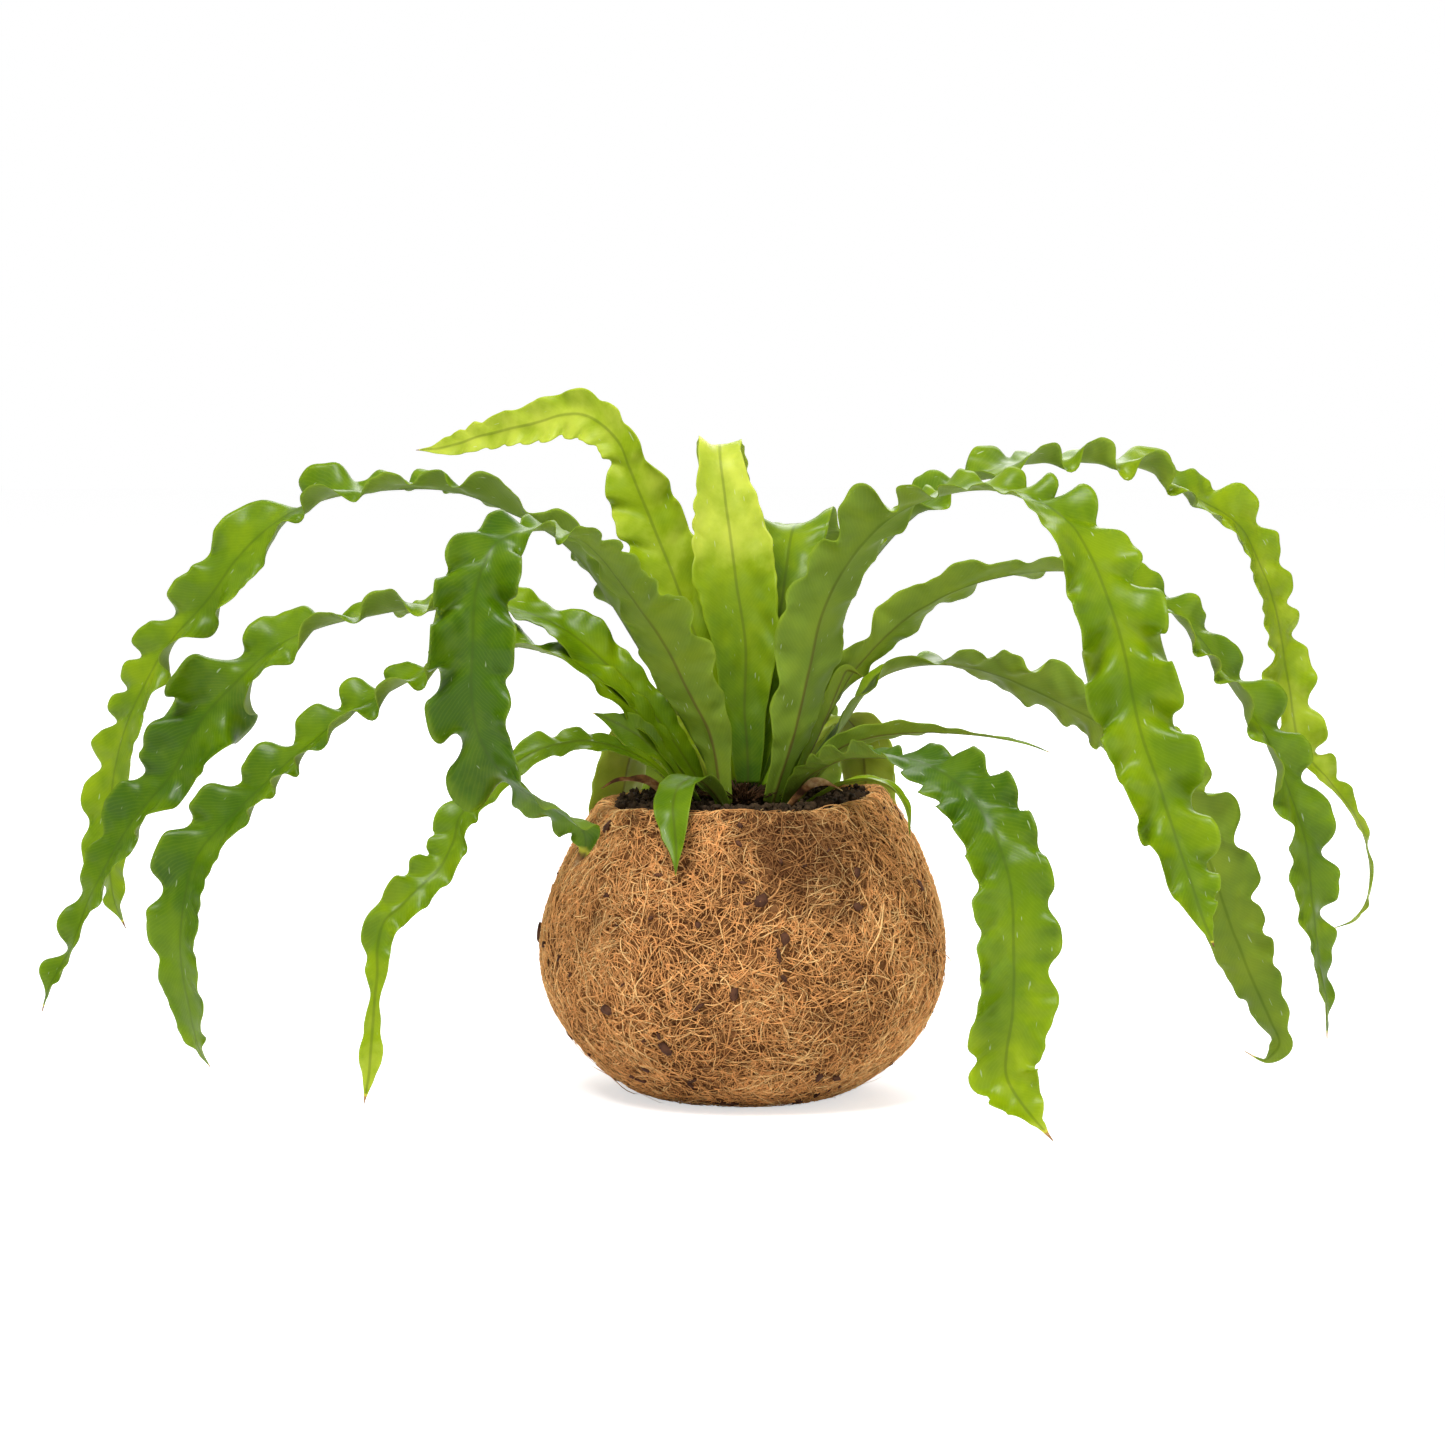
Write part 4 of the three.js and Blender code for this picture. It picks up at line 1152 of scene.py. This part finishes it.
class KOKEDAMA_OT_fronds(bpy.types.Operator):
    """Builds every living frond"""

    bl_idname = "kokedama.fronds"
    bl_label = "Living Fronds"

    def execute(self, context):
        plan = context.scene.kokedama_fronds
        slots = {part["node"]: part["material_slot"] for part in frame["record"]["subparts"]}
        finishes = {
            "frond_green": blade_material("Green Blade", plan, 0.3),
            "frond_young": blade_material("Young Blade", plan, 0.4),
        }
        for node in LOOKS:
            if slots[node] in finishes:
                piece = blade_mesh(node.replace("frond_", "blade_"), node, plan)
                finish_piece(piece, finishes[slots[node]], slots[node], node)
        return {"FINISHED"}


class KOKEDAMA_OT_dead_fronds(bpy.types.Operator):
    """Builds the dried stubs at the foot of the plant"""

    bl_idname = "kokedama.dead_fronds"
    bl_label = "Dead Fronds"

    def execute(self, context):
        plan = context.scene.kokedama_fronds
        dried = blade_material("Dried Blade", plan, 0.55)
        for node in ROLL:
            piece = blade_mesh(node.replace("dead_frond_", "dried_blade_"), node, plan)
            finish_piece(piece, dried, "frond_dead", node)
        return {"FINISHED"}


# ---------- stage ----------
# For each lamp: its name, its place from the point that the camera looks at, its width and its watts.
LAMPS = (
    ("Key", (-0.45, -0.9, 1.5), 0.75, 31),
    ("Fill", (1.3, -1.2, 0.5), 1.4, 7),
    ("Back", (0.3, 1.4, 1.1), 1.4, 19),
)


class KOKEDAMA_OT_stage(bpy.types.Operator):
    """Sets a plain pale floor, soft lights and the camera"""

    bl_idname = "kokedama.stage"
    bl_label = "Stage"

    def execute(self, context):
        plan = context.scene.kokedama_stage
        self.floor(plan)
        low, high = [Vector(corner) for corner in CAD_BOX]
        middle = (low + high) / 2
        aim = Vector((middle.x + plan.aim_right, 0, middle.z + plan.aim_up))
        for name, offset, size, power in LAMPS:
            self.light(name, aim + Vector(offset), aim, size, power)
        context.scene.world = self.world(plan)
        context.scene.view_settings.view_transform = "Standard"
        context.scene.camera = self.camera(plan, aim)
        return {"FINISHED"}

    @staticmethod
    def world(plan):
        """Even light from all round, and plain white to the camera."""
        world = bpy.data.worlds.new("Soft Studio")
        world.use_nodes = True
        tree = world.node_tree
        seen = place(tree, "ShaderNodeLightPath").outputs["Is Camera Ray"]
        glow = scaled(tree, seen, 1 - plan.sky, plan.sky)
        feed(tree, tree.nodes["Background"], {"Color": (1, 1, 1), "Strength": glow})
        return world

    @staticmethod
    def camera(plan, aim):
        camera = bpy.data.cameras.new("Camera")
        camera.lens = plan.lens
        camera.sensor_width = 36
        eye = bpy.data.objects.new("Camera", camera)
        back = Vector((0, -math.cos(plan.elevation), math.sin(plan.elevation)))
        eye.location = aim + back * plan.distance
        eye.rotation_euler = (-back).to_track_quat("-Z", "Y").to_euler()
        bpy.context.scene.collection.objects.link(eye)
        return eye

    @staticmethod
    def floor(plan):
        """A wide round floor."""
        sides = 96
        radii = np.array([0.05, 1.0, 2.0, 4.0, 8.0])
        heights = np.full(5, -0.05 * MM)
        turn = circle(sides)
        points = np.stack([
            np.outer(radii, np.cos(turn)),
            np.outer(radii, np.sin(turn)),
            np.outer(heights, np.ones(sides)),
        ], axis=-1)
        faces = tube_faces(len(radii), sides)[:, ::-1]
        made = mesh_piece("floor", points.reshape(-1, 3), [faces, np.arange(sides)[None]])
        material, tree, shader = new_material("Floor")
        seen = place(tree, "ShaderNodeLightPath").outputs["Is Camera Ray"]
        feed(tree, shader, {
            "Base Color": plan.floor,
            "Roughness": 0.9,
            "Specular IOR Level": 0.1,
            "Emission Color": (1, 1, 1),
            "Emission Strength": times(tree, seen, plan.floor_glow),
        })
        made.data.materials.append(material)
        return made

    @staticmethod
    def light(name, place_at, aim, size, power):
        lamp = bpy.data.lights.new(name, "AREA")
        lamp.shape = "DISK"
        lamp.size = size
        lamp.energy = power
        holder = bpy.data.objects.new(name, lamp)
        holder.location = place_at
        holder.rotation_euler = (aim - place_at).to_track_quat("-Z", "Y").to_euler()
        bpy.context.scene.collection.objects.link(holder)


class KOKEDAMA_PT_panel(bpy.types.Panel):
    """The plant's pieces, in the order in which they are built"""

    bl_label = "Fern Kokedama"
    bl_idname = "KOKEDAMA_PT_panel"
    bl_space_type = "VIEW_3D"
    bl_region_type = "UI"
    bl_category = "Kokedama"

    def draw(self, context):
        for group in GROUPS:
            plan = getattr(context.scene, group)
            for key in plan.__annotations__:
                self.layout.prop(plan, key)
        for each in OPERATORS:
            self.layout.operator(each.bl_idname)


GROUPS = {
    "kokedama_pot": PotSettings,
    "kokedama_soil": SoilSettings,
    "kokedama_fronds": FrondSettings,
    "kokedama_stage": StageSettings,
}
OPERATORS = (
    KOKEDAMA_OT_pot,
    KOKEDAMA_OT_soil,
    KOKEDAMA_OT_crown,
    KOKEDAMA_OT_fronds,
    KOKEDAMA_OT_dead_fronds,
    KOKEDAMA_OT_stage,
)


def register():
    for each in (*GROUPS.values(), *OPERATORS, KOKEDAMA_PT_panel):
        bpy.utils.register_class(each)
    for name, group in GROUPS.items():
        setattr(bpy.types.Scene, name, PointerProperty(type=group))


def unregister():
    for name in GROUPS:
        delattr(bpy.types.Scene, name)
    for each in reversed((*GROUPS.values(), *OPERATORS, KOKEDAMA_PT_panel)):
        bpy.utils.unregister_class(each)


def main():
    register()
    bpy.ops.kokedama.pot()
    bpy.ops.kokedama.soil()
    bpy.ops.kokedama.crown()
    bpy.ops.kokedama.fronds()
    bpy.ops.kokedama.dead_fronds()
    bpy.ops.kokedama.stage()


if __name__ == "__main__":
    main()
